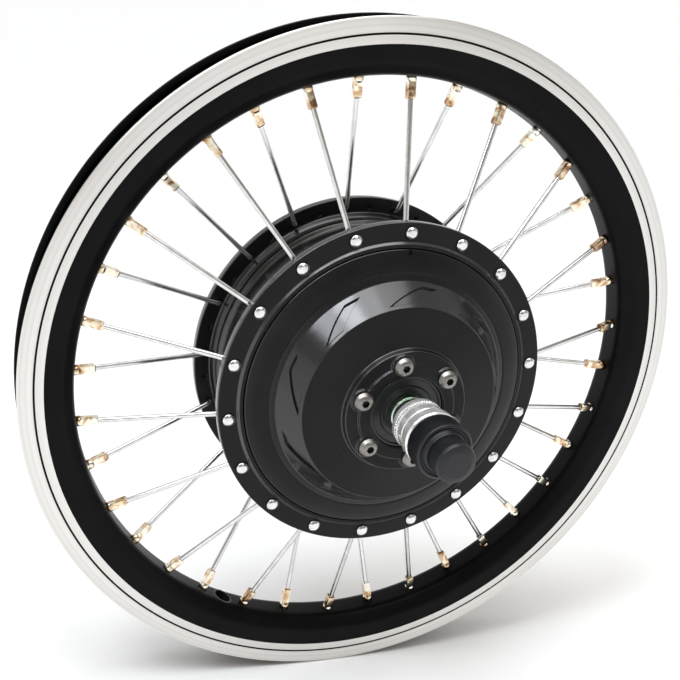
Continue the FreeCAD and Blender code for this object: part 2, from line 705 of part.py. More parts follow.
def axle():
    steps = turned([
        (0, NEAR_AXLE_END),
        (NEAR_AXLE_R, NEAR_AXLE_END, 0.8),
        (NEAR_AXLE_R, NEAR_BEARING[3]),
        (SUN_AXLE_R, NEAR_BEARING[3]),
        (SUN_AXLE_R, ROTOR_BEARING[2]),
        (BEARING_AXLE_R, ROTOR_BEARING[2]),
        (BEARING_AXLE_R, ROTOR_BEARING[3] + 0.6),
        (STATOR_AXLE_R, ROTOR_BEARING[3] + 0.6),
        (STATOR_AXLE_R, STATOR_SEAT_END),
        (BEARING_AXLE_R, STATOR_SEAT_END),
        (BEARING_AXLE_R, FAR_BEARING[3]),
        (FAR_AXLE_R, FAR_BEARING[3]),
        (FAR_AXLE_R, FAR_AXLE_END, 0.8),
        (0, FAR_AXLE_END)])
    width = 4 * AXLE_FLAT
    block = Part.makeBox(width, FAR_AXLE_END - FLATS_START + 1, width)
    tools = []
    for side in (AXLE_FLAT, -AXLE_FLAT - width):
        upper = block.copy()
        upper.translate(vector(-width / 2, FLATS_START, side))
        tools.append(upper)
        lower = block.copy()
        lower.translate(vector(-width / 2, -FAR_AXLE_END - 1, side))
        tools.append(lower)
    tools.append(rod(CABLE_BORE_R, CABLE_BORE_FLOOR, FAR_AXLE_END + 1))
    exit_start = vector(0, CABLE_EXIT_Y, 0)
    tools.append(Part.makeCylinder(CABLE_EXIT_R, 2 * STATOR_AXLE_R, exit_start, vector(1, 0, 0)))
    tools.append(key_block(KEY_CLEARANCE))
    return steps.cut(tools)


def key_block(allowance):
    """The stator's key, or its slot when an allowance is added."""
    half = KEY_WIDTH / 2 + allowance
    low = STATOR_NEAR - allowance
    length = STATOR_FAR - STATOR_NEAR + 2 * allowance
    return Part.makeBox(2 * half, length, KEY_HEIGHT, vector(-half, low, STATOR_AXLE_R - KEY_DEPTH))


def lock_washer(axle_r):
    """A serrated washer on the near side, its teeth towards the dropout."""
    low = -LOCK_WASHER_END
    high = -COLLAR_END
    body = tube(axle_r + GAP, STACK_R, low + SERRATION_HEIGHT, high)
    corner = vector(STACK_R - SERRATION_LENGTH - 0.1, low, -SERRATION_WIDTH / 2)
    tooth = Part.makeBox(SERRATION_LENGTH, SERRATION_HEIGHT, SERRATION_WIDTH, corner)
    return body.fuse(around(tooth, SERRATIONS)).removeSplitter()


def spacer_ring(axle_r):
    return turned([
        (axle_r + GAP, -DROPOUT_FACE),
        (STACK_R, -DROPOUT_FACE, 0.8),
        (STACK_R, -LOCK_WASHER_END, 0.8),
        (axle_r + GAP, -LOCK_WASHER_END)])


def flange_nut(axle_r):
    """Hex nut with a round flange, flange against the dropout."""
    flange = turned([
        (axle_r + GAP, -DROPOUT_FACE),
        (NUT_FLANGE_R, -DROPOUT_FACE, 0.8),
        (NUT_FLANGE_R, -NUT_FLANGE_END, 0.8),
        (axle_r + GAP, -NUT_FLANGE_END)])
    hexed = hexagon(NUT_FLATS, -NUT_END, -NUT_FLANGE_END)
    corner = turned([
        (0, -NUT_END),
        (NUT_FLATS / 2, -NUT_END),
        (NUT_FLATS * 0.6, -NUT_END + 1.4),
        (NUT_FLATS * 0.6, -NUT_FLANGE_END),
        (0, -NUT_FLANGE_END)])
    hexed = hexed.common(corner).cut(rod(axle_r + GAP, -NUT_END - 1, -NUT_FLANGE_END + 1))
    return flange.fuse(hexed).removeSplitter()


def nut_cap():
    """Soft cap over the near nut and axle end: a wide skirt, a ring groove and a narrow nose."""
    body = turned([
        (0, -CAP_END),
        (CAP_NOSE_R * 0.8, -CAP_END, 2.0),
        (CAP_NOSE_R, -CAP_END + 1.2, 1.0),
        (CAP_NOSE_R, -CAP_SHOULDER),
        (CAP_GROOVE_R - CAP_GROOVE, -CAP_SHOULDER),
        (CAP_GROOVE_R - CAP_GROOVE, -CAP_SHOULDER + CAP_GROOVE),
        (CAP_GROOVE_R, -CAP_SHOULDER + CAP_GROOVE),
        (CAP_GROOVE_R, -CAP_SHOULDER),
        (CAP_R, -CAP_SHOULDER, 0.8),
        (CAP_R, -NUT_FLANGE_END),
        (0, -NUT_FLANGE_END)])
    nut_space = hexagon(NUT_FLATS + 0.1, -NUT_END - 0.1, -NUT_FLANGE_END + 1)
    axle_space = rod(NEAR_AXLE_R + GAP, NEAR_AXLE_END - 0.2, -NUT_END + 1)
    return body.cut([nut_space, axle_space])


def cable_grommet():
    """Soft bush in the mouth of the axle's cable bore."""
    return tube(GROMMET_BORE_R, CABLE_BORE_R - SLIDE, FAR_AXLE_END - GROMMET_LENGTH, FAR_AXLE_END)


# ---- gears ----------------------------------------------------------------------------------

def involute(angle):
    return math.tan(angle) - angle


def half_angle(teeth, radius, thinning):
    """Half of a tooth's angular width at a radius."""
    pitch_r = MODULE * teeth / 2
    base_r = pitch_r * math.cos(PRESSURE_ANGLE)
    slope = math.acos(min(1.0, base_r / max(radius, base_r)))
    at_pitch = math.pi / (2 * teeth) - thinning / (2 * pitch_r)
    return at_pitch + involute(PRESSURE_ANGLE) - involute(slope)


def toothed(teeth, low_r, high_r, thinning, start):
    """The (x, z) outline of a toothed wheel with a tooth centred on the start angle."""
    steps = 4
    radii = [low_r + (high_r - low_r) * step / steps for step in range(steps + 1)]
    points = []
    for tooth in range(teeth):
        middle = math.radians(start) + 2 * math.pi * tooth / teeth
        rising = [(radius, middle - half_angle(teeth, radius, thinning)) for radius in radii]
        falling = [(radius, middle + half_angle(teeth, radius, thinning)) for radius in reversed(radii)]
        points += [(radius * math.cos(t), radius * math.sin(t)) for radius, t in rising + falling]
    return points


def external_gear(teeth, low, high, start):
    pitch_r = MODULE * teeth / 2
    return prism(toothed(teeth, pitch_r - DEDENDUM, pitch_r + MODULE, BACKLASH, start), low, high)


def sun_gear():
    """Sun gear with the flange that drives it from the rotor."""
    teeth = external_gear(SUN_TEETH, GEAR_NEAR - SUN_OVERHANG, SUN_FLANGE_NEAR, PLANET_ANGLE)
    flange = rod(SUN_FLANGE_R, SUN_FLANGE_NEAR, ROTOR_NEAR)
    return teeth.fuse(flange).cut(rod(SUN_BUSH_R, GEAR_NEAR - 3, ROTOR_NEAR + 1))


def planet_gear(index):
    centre = PLANET_ANGLE + 360.0 * index / PLANET_COUNT
    half_tooth = 180.0 / PLANET_TEETH
    gear = external_gear(PLANET_TEETH, GEAR_NEAR, GEAR_FAR, centre + half_tooth)
    gear = gear.cut(rod(PLANET_BEARING[1], GEAR_NEAR - 1, GEAR_FAR + 1))
    gear.translate(at_planet(centre))
    return gear


def at_planet(angle):
    x = PLANET_CIRCLE_R * math.cos(math.radians(angle))
    z = PLANET_CIRCLE_R * math.sin(math.radians(angle))
    return vector(x, 0, z)


def ring_gear():
    pitch_r = MODULE * RING_TEETH / 2
    half_tooth = 180.0 / RING_TEETH
    low_r = pitch_r - RING_ADDENDUM
    spaces = prism(toothed(RING_TEETH, low_r, pitch_r + DEDENDUM, -BACKLASH, PLANET_ANGLE + half_tooth),
                   RING_GEAR_NEAR - 1, RING_GEAR_FAR + 1)
    blank = rod(RING_GEAR_R, RING_GEAR_NEAR, RING_GEAR_FAR)
    hole = rod(RING_SCREW_R + GAP, RING_GEAR_NEAR - 1, RING_GEAR_FAR + 1, RING_SCREW_CIRCLE_R)
    seat = RING_GEAR_FAR - RING_SCREW_POCKET
    pocket = rod(RING_SCREW_HEAD_R + GAP, seat, RING_GEAR_FAR + 1, RING_SCREW_CIRCLE_R)
    return blank.cut([spaces] + around(hole.fuse(pocket), RING_SCREW_COUNT))


def ring_gear_screw():
    seat = RING_GEAR_FAR - RING_SCREW_POCKET
    head = rod(RING_SCREW_HEAD_R, seat, seat + RING_SCREW_HEAD, RING_SCREW_CIRCLE_R)
    shank = rod(RING_SCREW_R, RING_SCREW_END, seat, RING_SCREW_CIRCLE_R)
    top = seat + RING_SCREW_HEAD
    socket = hexagon(RING_SCREW_KEY, top - RING_SCREW_HEAD / 2, top + 1, RING_SCREW_CIRCLE_R)
    return head.fuse(shank).cut(socket)


def planet_carrier():
    """Disc that holds the three planet pins, with round windows between them."""
    disc = tube(CLUTCH_R, CARRIER_R, CARRIER_NEAR, CARRIER_FAR)
    pin_hole = rod(PIN_R + PRESS, CARRIER_NEAR - 1, CARRIER_FAR + 1, PLANET_CIRCLE_R)
    window = rod(CARRIER_WINDOW_R, CARRIER_NEAR - 1, CARRIER_FAR + 1, CARRIER_WINDOW_CIRCLE_R)
    tools = around(pin_hole, PLANET_COUNT, PLANET_ANGLE)
    tools += around(window, PLANET_COUNT, PLANET_ANGLE + 60)
    return disc.cut(tools)


def planet_pin():
    """Pin with a collar between the carrier and the planet's bearing."""
    high = PLANET_BEARING[3]
    pin = rod(PIN_R, CARRIER_NEAR, PIN_END)
    collar = rod(PIN_R + PIN_COLLAR, CARRIER_FAR, PLANET_BEARING[2])
    groove = tube(PIN_R - CIRCLIP_DEPTH, PIN_R + 1, high, high + CIRCLIP_WIDTH + 2 * GAP)
    pin = pin.fuse(collar).cut(groove)
    pin.translate(vector(PLANET_CIRCLE_R, 0, 0))
    return pin


def circlip():
    """Open retaining ring in the pin's groove."""
    low = PLANET_BEARING[3] + GAP
    ring = tube(PIN_R - CIRCLIP_DEPTH + SLIDE, PIN_R + CIRCLIP_PROUD, low, low + CIRCLIP_WIDTH)
    mouth = Part.makeBox(2 * PIN_R, CIRCLIP_WIDTH + 2, CIRCLIP_MOUTH, vector(0, low - 1, -CIRCLIP_MOUTH / 2))
    clip = ring.cut(mouth)
    clip.translate(vector(PLANET_CIRCLE_R, 0, 0))
    return clip


def one_way_clutch():
    """Inner hub on the axle, rollers, and outer ring in the carrier."""
    inner_r = ROLLER_R * 2 + SUN_AXLE_R + 0.3
    hub = tube(SUN_AXLE_R + PRESS, inner_r, CARRIER_NEAR, CARRIER_FAR)
    pitch = inner_r + ROLLER_R + GAP
    ring = tube(pitch + ROLLER_R + GAP, CLUTCH_R - PRESS, CARRIER_NEAR, CARRIER_FAR)
    roller = rod(ROLLER_R, CARRIER_NEAR + 0.4, CARRIER_FAR - 0.4, pitch)
    return hub, ring, around(roller, ROLLER_COUNT)


# ---- motor ----------------------------------------------------------------------------------

def rotor_can():
    """Cup that carries the magnets round the stator."""
    seat = ROTOR_BEARING[1]
    inside = ROTOR_NEAR + ROTOR_PLATE
    return turned([
        (seat, ROTOR_NEAR),
        (ROTOR_R, ROTOR_NEAR, 1.0),
        (ROTOR_R, ROTOR_FAR),
        (ROTOR_BORE_R, ROTOR_FAR),
        (ROTOR_BORE_R, inside, 0.8),
        (seat + 4.0, inside, 0.8),
        (seat + 4.0, ROTOR_BEARING[3]),
        (seat, ROTOR_BEARING[3])])


def magnet():
    """One arc magnet, centred on angle 0."""
    ring = tube(MAGNET_INNER_R, ROTOR_BORE_R - SLIDE, MAGNET_START, MAGNET_END)
    half = math.pi / MAGNET_COUNT * MAGNET_SHARE
    reach = 2 * ROTOR_R
    wedge = prism([(0, 0), (reach, -reach * math.tan(half)), (reach, reach * math.tan(half))],
                  ROTOR_NEAR, ROTOR_FAR)
    return ring.common(wedge)


def stator_core():
    """Laminated ring with T-shaped teeth."""
    yoke = tube(YOKE_R, YOKE_R + YOKE_THICKNESS, STATOR_NEAR, STATOR_FAR)
    length = STATOR_FAR - STATOR_NEAR
    root = YOKE_R + YOKE_THICKNESS - 0.6
    bar = Part.makeBox(STATOR_R - TOOTH_TIP - root + 0.5, length, TOOTH_WIDTH,
                       vector(root, STATOR_NEAR, -TOOTH_WIDTH / 2))
    tip = tube(STATOR_R - TOOTH_TIP, STATOR_R, STATOR_NEAR, STATOR_FAR)
    corner = vector(0, STATOR_NEAR - 1, -SLOT_OPENING / 2)
    slot_opening = Part.makeBox(STATOR_R, length + 2, SLOT_OPENING, corner)
    half_pitch = 180.0 / STATOR_TEETH
    tip = tip.cut(around(slot_opening, STATOR_TEETH, half_pitch))
    return yoke.fuse(around(bar, STATOR_TEETH)).fuse(tip).removeSplitter()


def coil():
    """One winding: a rectangular ring round a tooth at angle 0."""
    low_r = YOKE_R + YOKE_THICKNESS + 0.6
    high_r = STATOR_R - TOOTH_TIP - 0.5
    length = STATOR_FAR - STATOR_NEAR
    inner_width = TOOTH_WIDTH + COIL_GAP
    build = COIL_BUILD
    outer = Part.makeBox(high_r - low_r, length + 2 * (build + COIL_GAP), inner_width + 2 * build,
                         vector(low_r, STATOR_NEAR - build - COIL_GAP, -inner_width / 2 - build))
    outer = outer.makeFillet(COIL_CORNER, [edge for edge in outer.Edges if is_radial(edge)])
    inner = Part.makeBox(high_r - low_r + 2, length + 2 * COIL_GAP, inner_width,
                         vector(low_r - 1, STATOR_NEAR - COIL_GAP, -inner_width / 2))
    half = math.radians(180.0 / STATOR_TEETH)
    reach = 2 * STATOR_R
    wedge = prism([(0.5, 0), (reach, -reach * math.tan(half)), (reach, reach * math.tan(half))],
                  STATOR_NEAR - 10, STATOR_FAR + 10)
    return outer.cut(inner).common(wedge)


def is_radial(edge):
    direction = edge.Vertexes[-1].Point - edge.Vertexes[0].Point
    return abs(direction.x) > abs(direction.y) + abs(direction.z)


def stator_hub():
    """Spoked aluminium hub between the axle and the laminations."""
    disc = tube(STATOR_AXLE_R + PRESS, YOKE_R - PRESS, STATOR_NEAR, STATOR_FAR)
    window = rod(STATOR_WINDOW_R, STATOR_NEAR - 1, STATOR_FAR + 1, STATOR_WINDOW_CIRCLE_R)
    return disc.cut(around(window, STATOR_WINDOWS) + [key_block(KEY_CLEARANCE)])


def hall_board():
    """Crescent-shaped sensor board clipped over the far ends of the coils."""
    ring = tube(BOARD_INNER_R, BOARD_OUTER_R, BOARD_NEAR, BOARD_NEAR + BOARD_THICKNESS)
    reach = 2 * BOARD_OUTER_R
    side = reach * math.tan(BOARD_HALF_ANGLE)
    wedge = prism([(0, 0), (reach, -side), (reach, side)], BOARD_NEAR - 1, BOARD_NEAR + BOARD_THICKNESS + 1)
    return ring.common(wedge)


def export_wheel():
    export("rim", rim())
    export("valve_sleeve", valve_sleeve())
    near_spoke = spoke()
    export("near_spokes", around(near_spoke, SPOKES_PER_SIDE, NEAR_SPOKE_ANGLE))
    export("far_spokes", around(mirrored(near_spoke), SPOKES_PER_SIDE, FAR_SPOKE_ANGLE))
    near_nipple = nipple()
    nipples = around(near_nipple, SPOKES_PER_SIDE, NEAR_SPOKE_ANGLE)
    nipples += around(mirrored(near_nipple), SPOKES_PER_SIDE, FAR_SPOKE_ANGLE)
    export("spoke_nipples", nipples)
    export("hub_shell", hub_shell())
    export("near_cover", near_cover())
    export("far_cover", far_cover())
    export("disc_bolts", around(disc_bolt(), DISC_BOLT_COUNT, DISC_BOLT_ANGLE))
    export("cover_screws", around(cover_screw(), COVER_SCREW_COUNT))
    export("near_seal", oil_seal(COLLAR_R + SEAL_GAP, *NEAR_SEAL))
    export("far_seal", oil_seal(FAR_COLLAR_R + SEAL_GAP, *FAR_SEAL))


def export_bearings():
    for name, size in (("near_bearing", NEAR_BEARING), ("far_bearing", FAR_BEARING),
                       ("rotor_bearing", ROTOR_BEARING)):
        inner, outer, balls = bearing(size)
        export(name + "_inner", inner)
        export(name + "_outer", outer)
        export(name + "_balls", balls)


def export_axle():
    export("axle", axle())
    export("near_collar", tube(NEAR_AXLE_R + SLIDE, COLLAR_R, -COLLAR_END, NEAR_BEARING[2]))
    export("far_collar", tube(FAR_AXLE_R + SLIDE, FAR_COLLAR_R, FAR_BEARING[3], COLLAR_END))
    export("near_lock_washer", lock_washer(NEAR_AXLE_R))
    export("far_lock_washer", mirrored(lock_washer(FAR_AXLE_R)))
    export("near_spacer", spacer_ring(NEAR_AXLE_R))
    export("far_spacer", mirrored(spacer_ring(FAR_AXLE_R)))
    export("near_axle_nut", flange_nut(NEAR_AXLE_R))
    export("far_axle_nut", mirrored(flange_nut(FAR_AXLE_R)))
    export("near_nut_cap", nut_cap())
    export("cable_grommet", cable_grommet())


def export_gears():
    export("ring_gear", ring_gear())
    export("ring_gear_screws", around(ring_gear_screw(), RING_SCREW_COUNT))
    export("sun_gear", sun_gear())
    bush_start = GEAR_NEAR - SUN_OVERHANG
    export("sun_bush", tube(SUN_AXLE_R + SEAL_GAP, SUN_BUSH_R, bush_start, bush_start + SUN_BUSH_LENGTH))
    inner, outer, balls = bearing(PLANET_BEARING)
    for index in range(PLANET_COUNT):
        export("planet_gear_%d" % (index + 1), planet_gear(index))
        ring = outer.copy()
        ring.translate(at_planet(PLANET_ANGLE + 360.0 * index / PLANET_COUNT))
        export("planet_bearing_outer_%d" % (index + 1), ring)
    inner.translate(at_planet(0.0))
    export("planet_bearing_inner", around(inner, PLANET_COUNT, PLANET_ANGLE))
    ball_set = Part.makeCompound(balls)
    ball_set.translate(at_planet(0.0))
    export("planet_bearing_balls", around(ball_set, PLANET_COUNT, PLANET_ANGLE))
    export("planet_carrier", planet_carrier())
    export("planet_pins", around(planet_pin(), PLANET_COUNT, PLANET_ANGLE))
    export("pin_circlips", around(circlip(), PLANET_COUNT, PLANET_ANGLE))
    hub, ring, rollers = one_way_clutch()
    export("clutch_hub", hub)
    export("clutch_ring", ring)
    export("clutch_rollers", rollers)


def export_motor():
    export("rotor_can", rotor_can())
    export("rotor_magnets", around(magnet(), MAGNET_COUNT))
    export("stator_core", stator_core())
    export("stator_windings", around(coil(), STATOR_TEETH))
    export("stator_hub", stator_hub())
    export("stator_key", key_block(0.0))
    export("hall_board", hall_board())


os.makedirs("parts", exist_ok=True)
export_wheel()
export_bearings()
export_axle()
export_gears()
export_motor()
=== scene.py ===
# Looks of a geared hub motor wheel: black rim with machined brake tracks, radial spokes, black hub.
import json
import math

import bmesh
import bpy
from mathutils import Matrix, Vector


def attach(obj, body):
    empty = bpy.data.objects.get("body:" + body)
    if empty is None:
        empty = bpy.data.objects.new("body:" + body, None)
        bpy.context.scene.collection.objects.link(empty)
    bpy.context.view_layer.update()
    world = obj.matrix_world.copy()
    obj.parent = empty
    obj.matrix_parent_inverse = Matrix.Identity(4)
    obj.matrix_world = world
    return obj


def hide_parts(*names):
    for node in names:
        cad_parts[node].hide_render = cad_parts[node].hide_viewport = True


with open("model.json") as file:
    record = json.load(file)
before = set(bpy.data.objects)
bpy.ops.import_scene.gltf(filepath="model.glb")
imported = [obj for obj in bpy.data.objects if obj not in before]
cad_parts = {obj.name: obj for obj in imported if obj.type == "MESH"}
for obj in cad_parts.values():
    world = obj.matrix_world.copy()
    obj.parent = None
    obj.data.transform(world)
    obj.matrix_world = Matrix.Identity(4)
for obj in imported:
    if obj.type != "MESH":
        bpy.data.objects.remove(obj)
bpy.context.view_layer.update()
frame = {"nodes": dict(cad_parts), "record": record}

# Lengths below are millimetres unless a name says otherwise; MM turns them into metres.
MM = 0.001
TURN = 2 * math.pi

# Rim. The seam is the line where its two ends meet: SEAM_CORE_R is the circle it is pressed towards.
RIM_R = 157.9
RIM_HALF = 11.7
TRACK_R = 147.0
GROOVE_R = 151.0
GROOVE_WIDTH = 0.9
GROOVE_DEPTH = 0.3
BED_R = 134.0
BED_THICKNESS = 2.4
WALL_FOOT = (139.6, 10.6)
TYRE_BED_R = 149.5
BEAD_SEAT_R = 152.5
HOOK = 1.6
ACCESS_R = 4.1
NECK_R = 2.3
SEAM_ANGLE = 64.7
SEAM_WIDTH = 0.24
SEAM_DEPTH = 0.14
SEAM_CORE_R = 146.0
VALVE_ANGLE = 244.7
VALVE_R = 5.0

# Spokes
SPOKES_PER_SIDE = 18
NEAR_ANGLE = 9.7
FAR_ANGLE = 19.7
SPOKE_R = 1.175
HEAD_R = 2.7
ELBOW_R = 3.0
SPOKE_CIRCLE_R = 72.15
FLANGE_R = 76.75
FLANGE_FACE = 25.2
FLANGE_INNER = 20.9
DIMPLE_CIRCLE_R = 71.4

# Hub. SLASH_FOOT and SLASH_HEAD are a recess's two side angles and its height, at its two ends;
# SLASH_EDGE and SLASH_MIDDLE space the mesh lines across it.
DRUM_R = 66.0
DRUM_BULGE_R = 67.9
DRUM_NECK_R = 66.3
SEAM_GROOVE = 0.25
REGISTER_R = 65.8
REGISTER_END = 21.4
SHELL_BORE_R = 62.0
LIP_FACE = 26.5
COVER_R = 65.5
COVER_EDGE = 26.7
COVER_INSIDE = 21.5
NOTCH_SIZE = (2.0, 1.4, 2.6)
NOTCH_R = 64.4
HUMP_FOOT = (53.0, 30.7)
HUMP_TOP = (44.8, 41.7)
HUMP_FOOT_POINT = (HUMP_FOOT[0], -HUMP_FOOT[1])
HUMP_TOP_POINT = (HUMP_TOP[0], -HUMP_TOP[1])
BOSS_R = 27.5
BOSS_FACE = 47.6
PAD_FACE = 48.8
PAD_RING_R = 21.9
PAD_R = 5.0
PAD_BORE_R = 16.52
FREEWHEEL_R = 17.4
FREEWHEEL_END = 49.5
FREEWHEEL_PITCH = 1.058
FAR_SEAL_R = 13.02
BOLT_CIRCLE_R = 22.0
BOLT_ANGLE = 44.0
BOLT_COUNT = 6
SLASHES = 9
SLASH_DEPTH = 1.0
SLASH_WALL = 0.7
SLASH_FOOT = (115.6, 124.1, 32.8)
SLASH_HEAD = (132.6, 145.4, 40.3)
SLASH_EDGE = (-0.5, -0.15, 0.0, 0.15, 0.4, 0.75, 1.0, 1.4)
SLASH_MIDDLE = (0.3, 0.4, 0.5, 0.6, 0.7)
GAP_COLUMNS = 22
SCREWS = 9
SCREW_CIRCLE_R = 61.2
SCREW_SEAT = 26.0

# Axle stack
COLLAR_END = 57.7
WASHER_END = 61.7
DROPOUT = 67.7
STACK_R = 11.2
NUT_FLANGE_END = 74.7
NUT_END = 83.0
NUT_FLATS = 18.0
NUT_FLANGE_R = 12.0
CAP_SHOULDER = 84.2
CAP_R = 8.4
CAP_POCKET_END = 88.3
AXLE_END = 94.7
NEAR_BORE_R = 6.03
FAR_BORE_R = 7.04
NEAR_COLLAR_R = 8.3
FAR_COLLAR_R = 8.8
NEAR_AXLE_R = 6.0
FAR_AXLE_R = 7.0
THREAD_PITCH = 1.25
THREAD_DEPTH = 0.6
THREAD_START = 58.0
HALF_FLATS = 5.0
CABLE_BORE_R = 3.6
CABLE_TURN = 15.0

# Studio: the floor's (radius, rise) from the middle out, the world's light from front to back, and
# the window's three strips of light, each with the direction it comes from and its strength.
FLOOR_PROFILE = ((1, 0), (900, 0), (1500, 12), (2500, 80), (4500, 330), (9000, 1300), (20000, 5200))
FLOOR_PAINT = (0.9, 0.9, 0.895)
WORLD_FRONT = (0.42, 0.38, 0.32)
WORLD_BACK = (0.93, 0.92, 0.905)
WORLD_STRENGTH = 0.74
WINDOW_SPREAD = 18.0
WINDOW_COLOUR = (0.94, 0.98, 1.05)
WINDOWS = (("window_high", (-0.16, -0.15, 0.975), 0.25),
           ("window_middle", (-0.44, -0.18, 0.88), 0.95),
           ("window_low", (-0.70, -0.19, 0.69), 0.6))

# Camera, in metres: its right, up and backward directions and its place.
CAMERA_RIGHT = (0.9493, -0.2943, 0.1106)
CAMERA_UP = (0.0, 0.3518, 0.9361)
CAMERA_BACK = (-0.3144, -0.8886, 0.3339)
CAMERA_PLACE = (-0.1757, -0.3696, 0.1599)
CAMERA_LENS = 49.3
CAMERA_SHIFT = (0.0909, -0.0204)


# ---- materials ------------------------------------------------------------------------------

def nodes_of(material):
    """A material's node tree, its nodes and its main shader."""
    tree = material.node_tree
    return tree, tree.nodes, tree.nodes["Principled BSDF"]


def make_material(name, colour, roughness, metallic=0.0, **sockets):
    material = bpy.data.materials.new(name)
    material.use_nodes = True
    _, _, shader = nodes_of(material)
    shader.inputs["Base Color"].default_value = (*colour, 1.0)
    shader.inputs["Roughness"].default_value = roughness
    shader.inputs["Metallic"].default_value = metallic
    for socket, value in sockets.items():
        shader.inputs[socket.replace("_", " ")].default_value = value
    return material


def math_node(tree, operation, first, second=None):
    node = tree.nodes.new("ShaderNodeMath")
    node.operation = operation
    for index, value in enumerate((first, second)):
        if value is None:
            continue
        if isinstance(value, (int, float)):
            node.inputs[index].default_value = value
        else:
            tree.links.new(value, node.inputs[index])
    return node.outputs[0]


def object_position(tree):
    return tree.nodes.new("ShaderNodeTexCoord").outputs["Object"]


def axes_of(tree, vector):
    """The X, Y and Z of a vector."""
    split = tree.nodes.new("ShaderNodeSeparateXYZ")
    tree.links.new(vector, split.inputs[0])
    return split.outputs


def share_between(tree, value, first, last, low=0.0, high=1.0):
    """Maps a value that runs from first to last onto low to high, and no further."""
    node = tree.nodes.new("ShaderNodeMapRange")
    for socket, number in (("From Min", first), ("From Max", last), ("To Min", low), ("To Max", high)):
        node.inputs[socket].default_value = number
    tree.links.new(value, node.inputs["Value"])
    return node.outputs[0]


def axle_distance(tree):
    """Distance from the wheel's axis, in metres."""
    x, _, z = axes_of(tree, object_position(tree))
    square_x = math_node(tree, "MULTIPLY", x, x)
    square_z = math_node(tree, "MULTIPLY", z, z)
    return math_node(tree, "SQRT", math_node(tree, "ADD", square_x, square_z))


def noise(tree, scale, detail=2.0, vector=None, distortion=0.0):
    node = tree.nodes.new("ShaderNodeTexNoise")
    node.inputs["Scale"].default_value = scale
    node.inputs["Detail"].default_value = detail
    node.inputs["Distortion"].default_value = distortion
    tree.links.new(vector or object_position(tree), node.inputs["Vector"])
    return node.outputs["Fac"]


def ring_noise(tree, scale, across):
    """Noise that is the same all the way round the axis, as turning marks are."""
    combine = tree.nodes.new("ShaderNodeCombineXYZ")
    tree.links.new(math_node(tree, "MULTIPLY", axle_distance(tree), scale), combine.inputs[0])
    _, y, _ = axes_of(tree, object_position(tree))
    tree.links.new(math_node(tree, "MULTIPLY", y, across), combine.inputs[1])
    return noise(tree, 1.0, 3.0, combine.outputs[0])


def ramp(tree, value, stops):
    node = tree.nodes.new("ShaderNodeValToRGB")
    elements = node.color_ramp.elements
    while len(elements) < len(stops):
        elements.new(0.5)
    for element, (position, colour) in zip(elements, stops):
        element.position = position
        element.color = (*colour, 1.0)
    tree.links.new(value, node.inputs[0])
    return node.outputs["Color"]


def bump(material, height, strength, distance):
    tree, nodes, shader = nodes_of(material)
    node = nodes.new("ShaderNodeBump")
    node.inputs["Strength"].default_value = strength
    node.inputs["Distance"].default_value = distance
    tree.links.new(height, node.inputs["Height"])
    if shader.inputs["Normal"].is_linked:
        tree.links.new(shader.inputs["Normal"].links[0].from_socket, node.inputs["Normal"])
    tree.links.new(node.outputs["Normal"], shader.inputs["Normal"])


def vary_roughness(material, value, low, high):
    tree, _, shader = nodes_of(material)
    tree.links.new(share_between(tree, value, 0.0, 1.0, low, high), shader.inputs["Roughness"])


def vary_colour(material, value, stops):
    tree, _, shader = nodes_of(material)
    tree.links.new(ramp(tree, value, stops), shader.inputs["Base Color"])


def powder_coat(name, dark, light, roughness, grain, specular):
    """Black paint with a fine orange-peel skin."""
    material = make_material(name, dark, roughness, 0.0, Specular_IOR_Level=specular)
    tree, _, _ = nodes_of(material)
    vary_colour(material, noise(tree, 38.0, 4.0), [(0.35, dark), (0.7, light)])
    vary_roughness(material, noise(tree, 120.0, 3.0), roughness - 0.05, roughness + 0.07)
    bump(material, noise(tree, grain, 2.0), 0.12, 0.00004)
    return material


def hub_coat():
    """The hub's black paint: satin on the flat faces, glossier on walls, lips and rounded edges."""
    material = powder_coat("hub_paint", BLACK, BLACK_LIGHT, 0.3, 2100.0, 0.17)
    tree, nodes, shader = nodes_of(material)
    _, along_axle, _ = axes_of(tree, nodes.new("ShaderNodeTexCoord").outputs["Normal"])
    wall = share_between(tree, math_node(tree, "ABSOLUTE", along_axle), 0.945, 0.83)
    past_cover = math_node(tree, "GREATER_THAN", axle_distance(tree), (COVER_R + 0.1) * MM)
    extra = math_node(tree, "ADD", math_node(tree, "MULTIPLY", past_cover, 0.4), 0.5)
    gloss = math_node(tree, "ADD", math_node(tree, "MULTIPLY", wall, extra), 0.17)
    tree.links.new(gloss, shader.inputs["Specular IOR Level"])
    rough = shader.inputs["Roughness"].links[0].from_socket
    smoother = math_node(tree, "SUBTRACT", rough, math_node(tree, "MULTIPLY", wall, 0.11))
    tree.links.new(smoother, shader.inputs["Roughness"])
    return material


def machined_track():
    """Bare turned aluminium with concentric cutter lines."""
    material = make_material("machined_track", (0.96, 0.955, 0.945), 0.46, 1.0, Anisotropic=0.88,
                             Anisotropic_Rotation=0.25)
    tree, nodes, shader = nodes_of(material)
    lines = ring_noise(tree, 9000.0, 9000.0)
    broad = ring_noise(tree, 900.0, 900.0)
    vary_colour(material, broad, [(0.3, (0.74, 0.72, 0.69)), (0.6, (0.86, 0.845, 0.82))])
    vary_roughness(material, lines, 0.36, 0.54)
    bump(material, lines, 0.2, 0.00004)
    tangent = nodes.new("ShaderNodeTangent")
    tangent.direction_type = "RADIAL"
    tangent.axis = "Y"
    tree.links.new(tangent.outputs[0], shader.inputs["Tangent"])
    return material


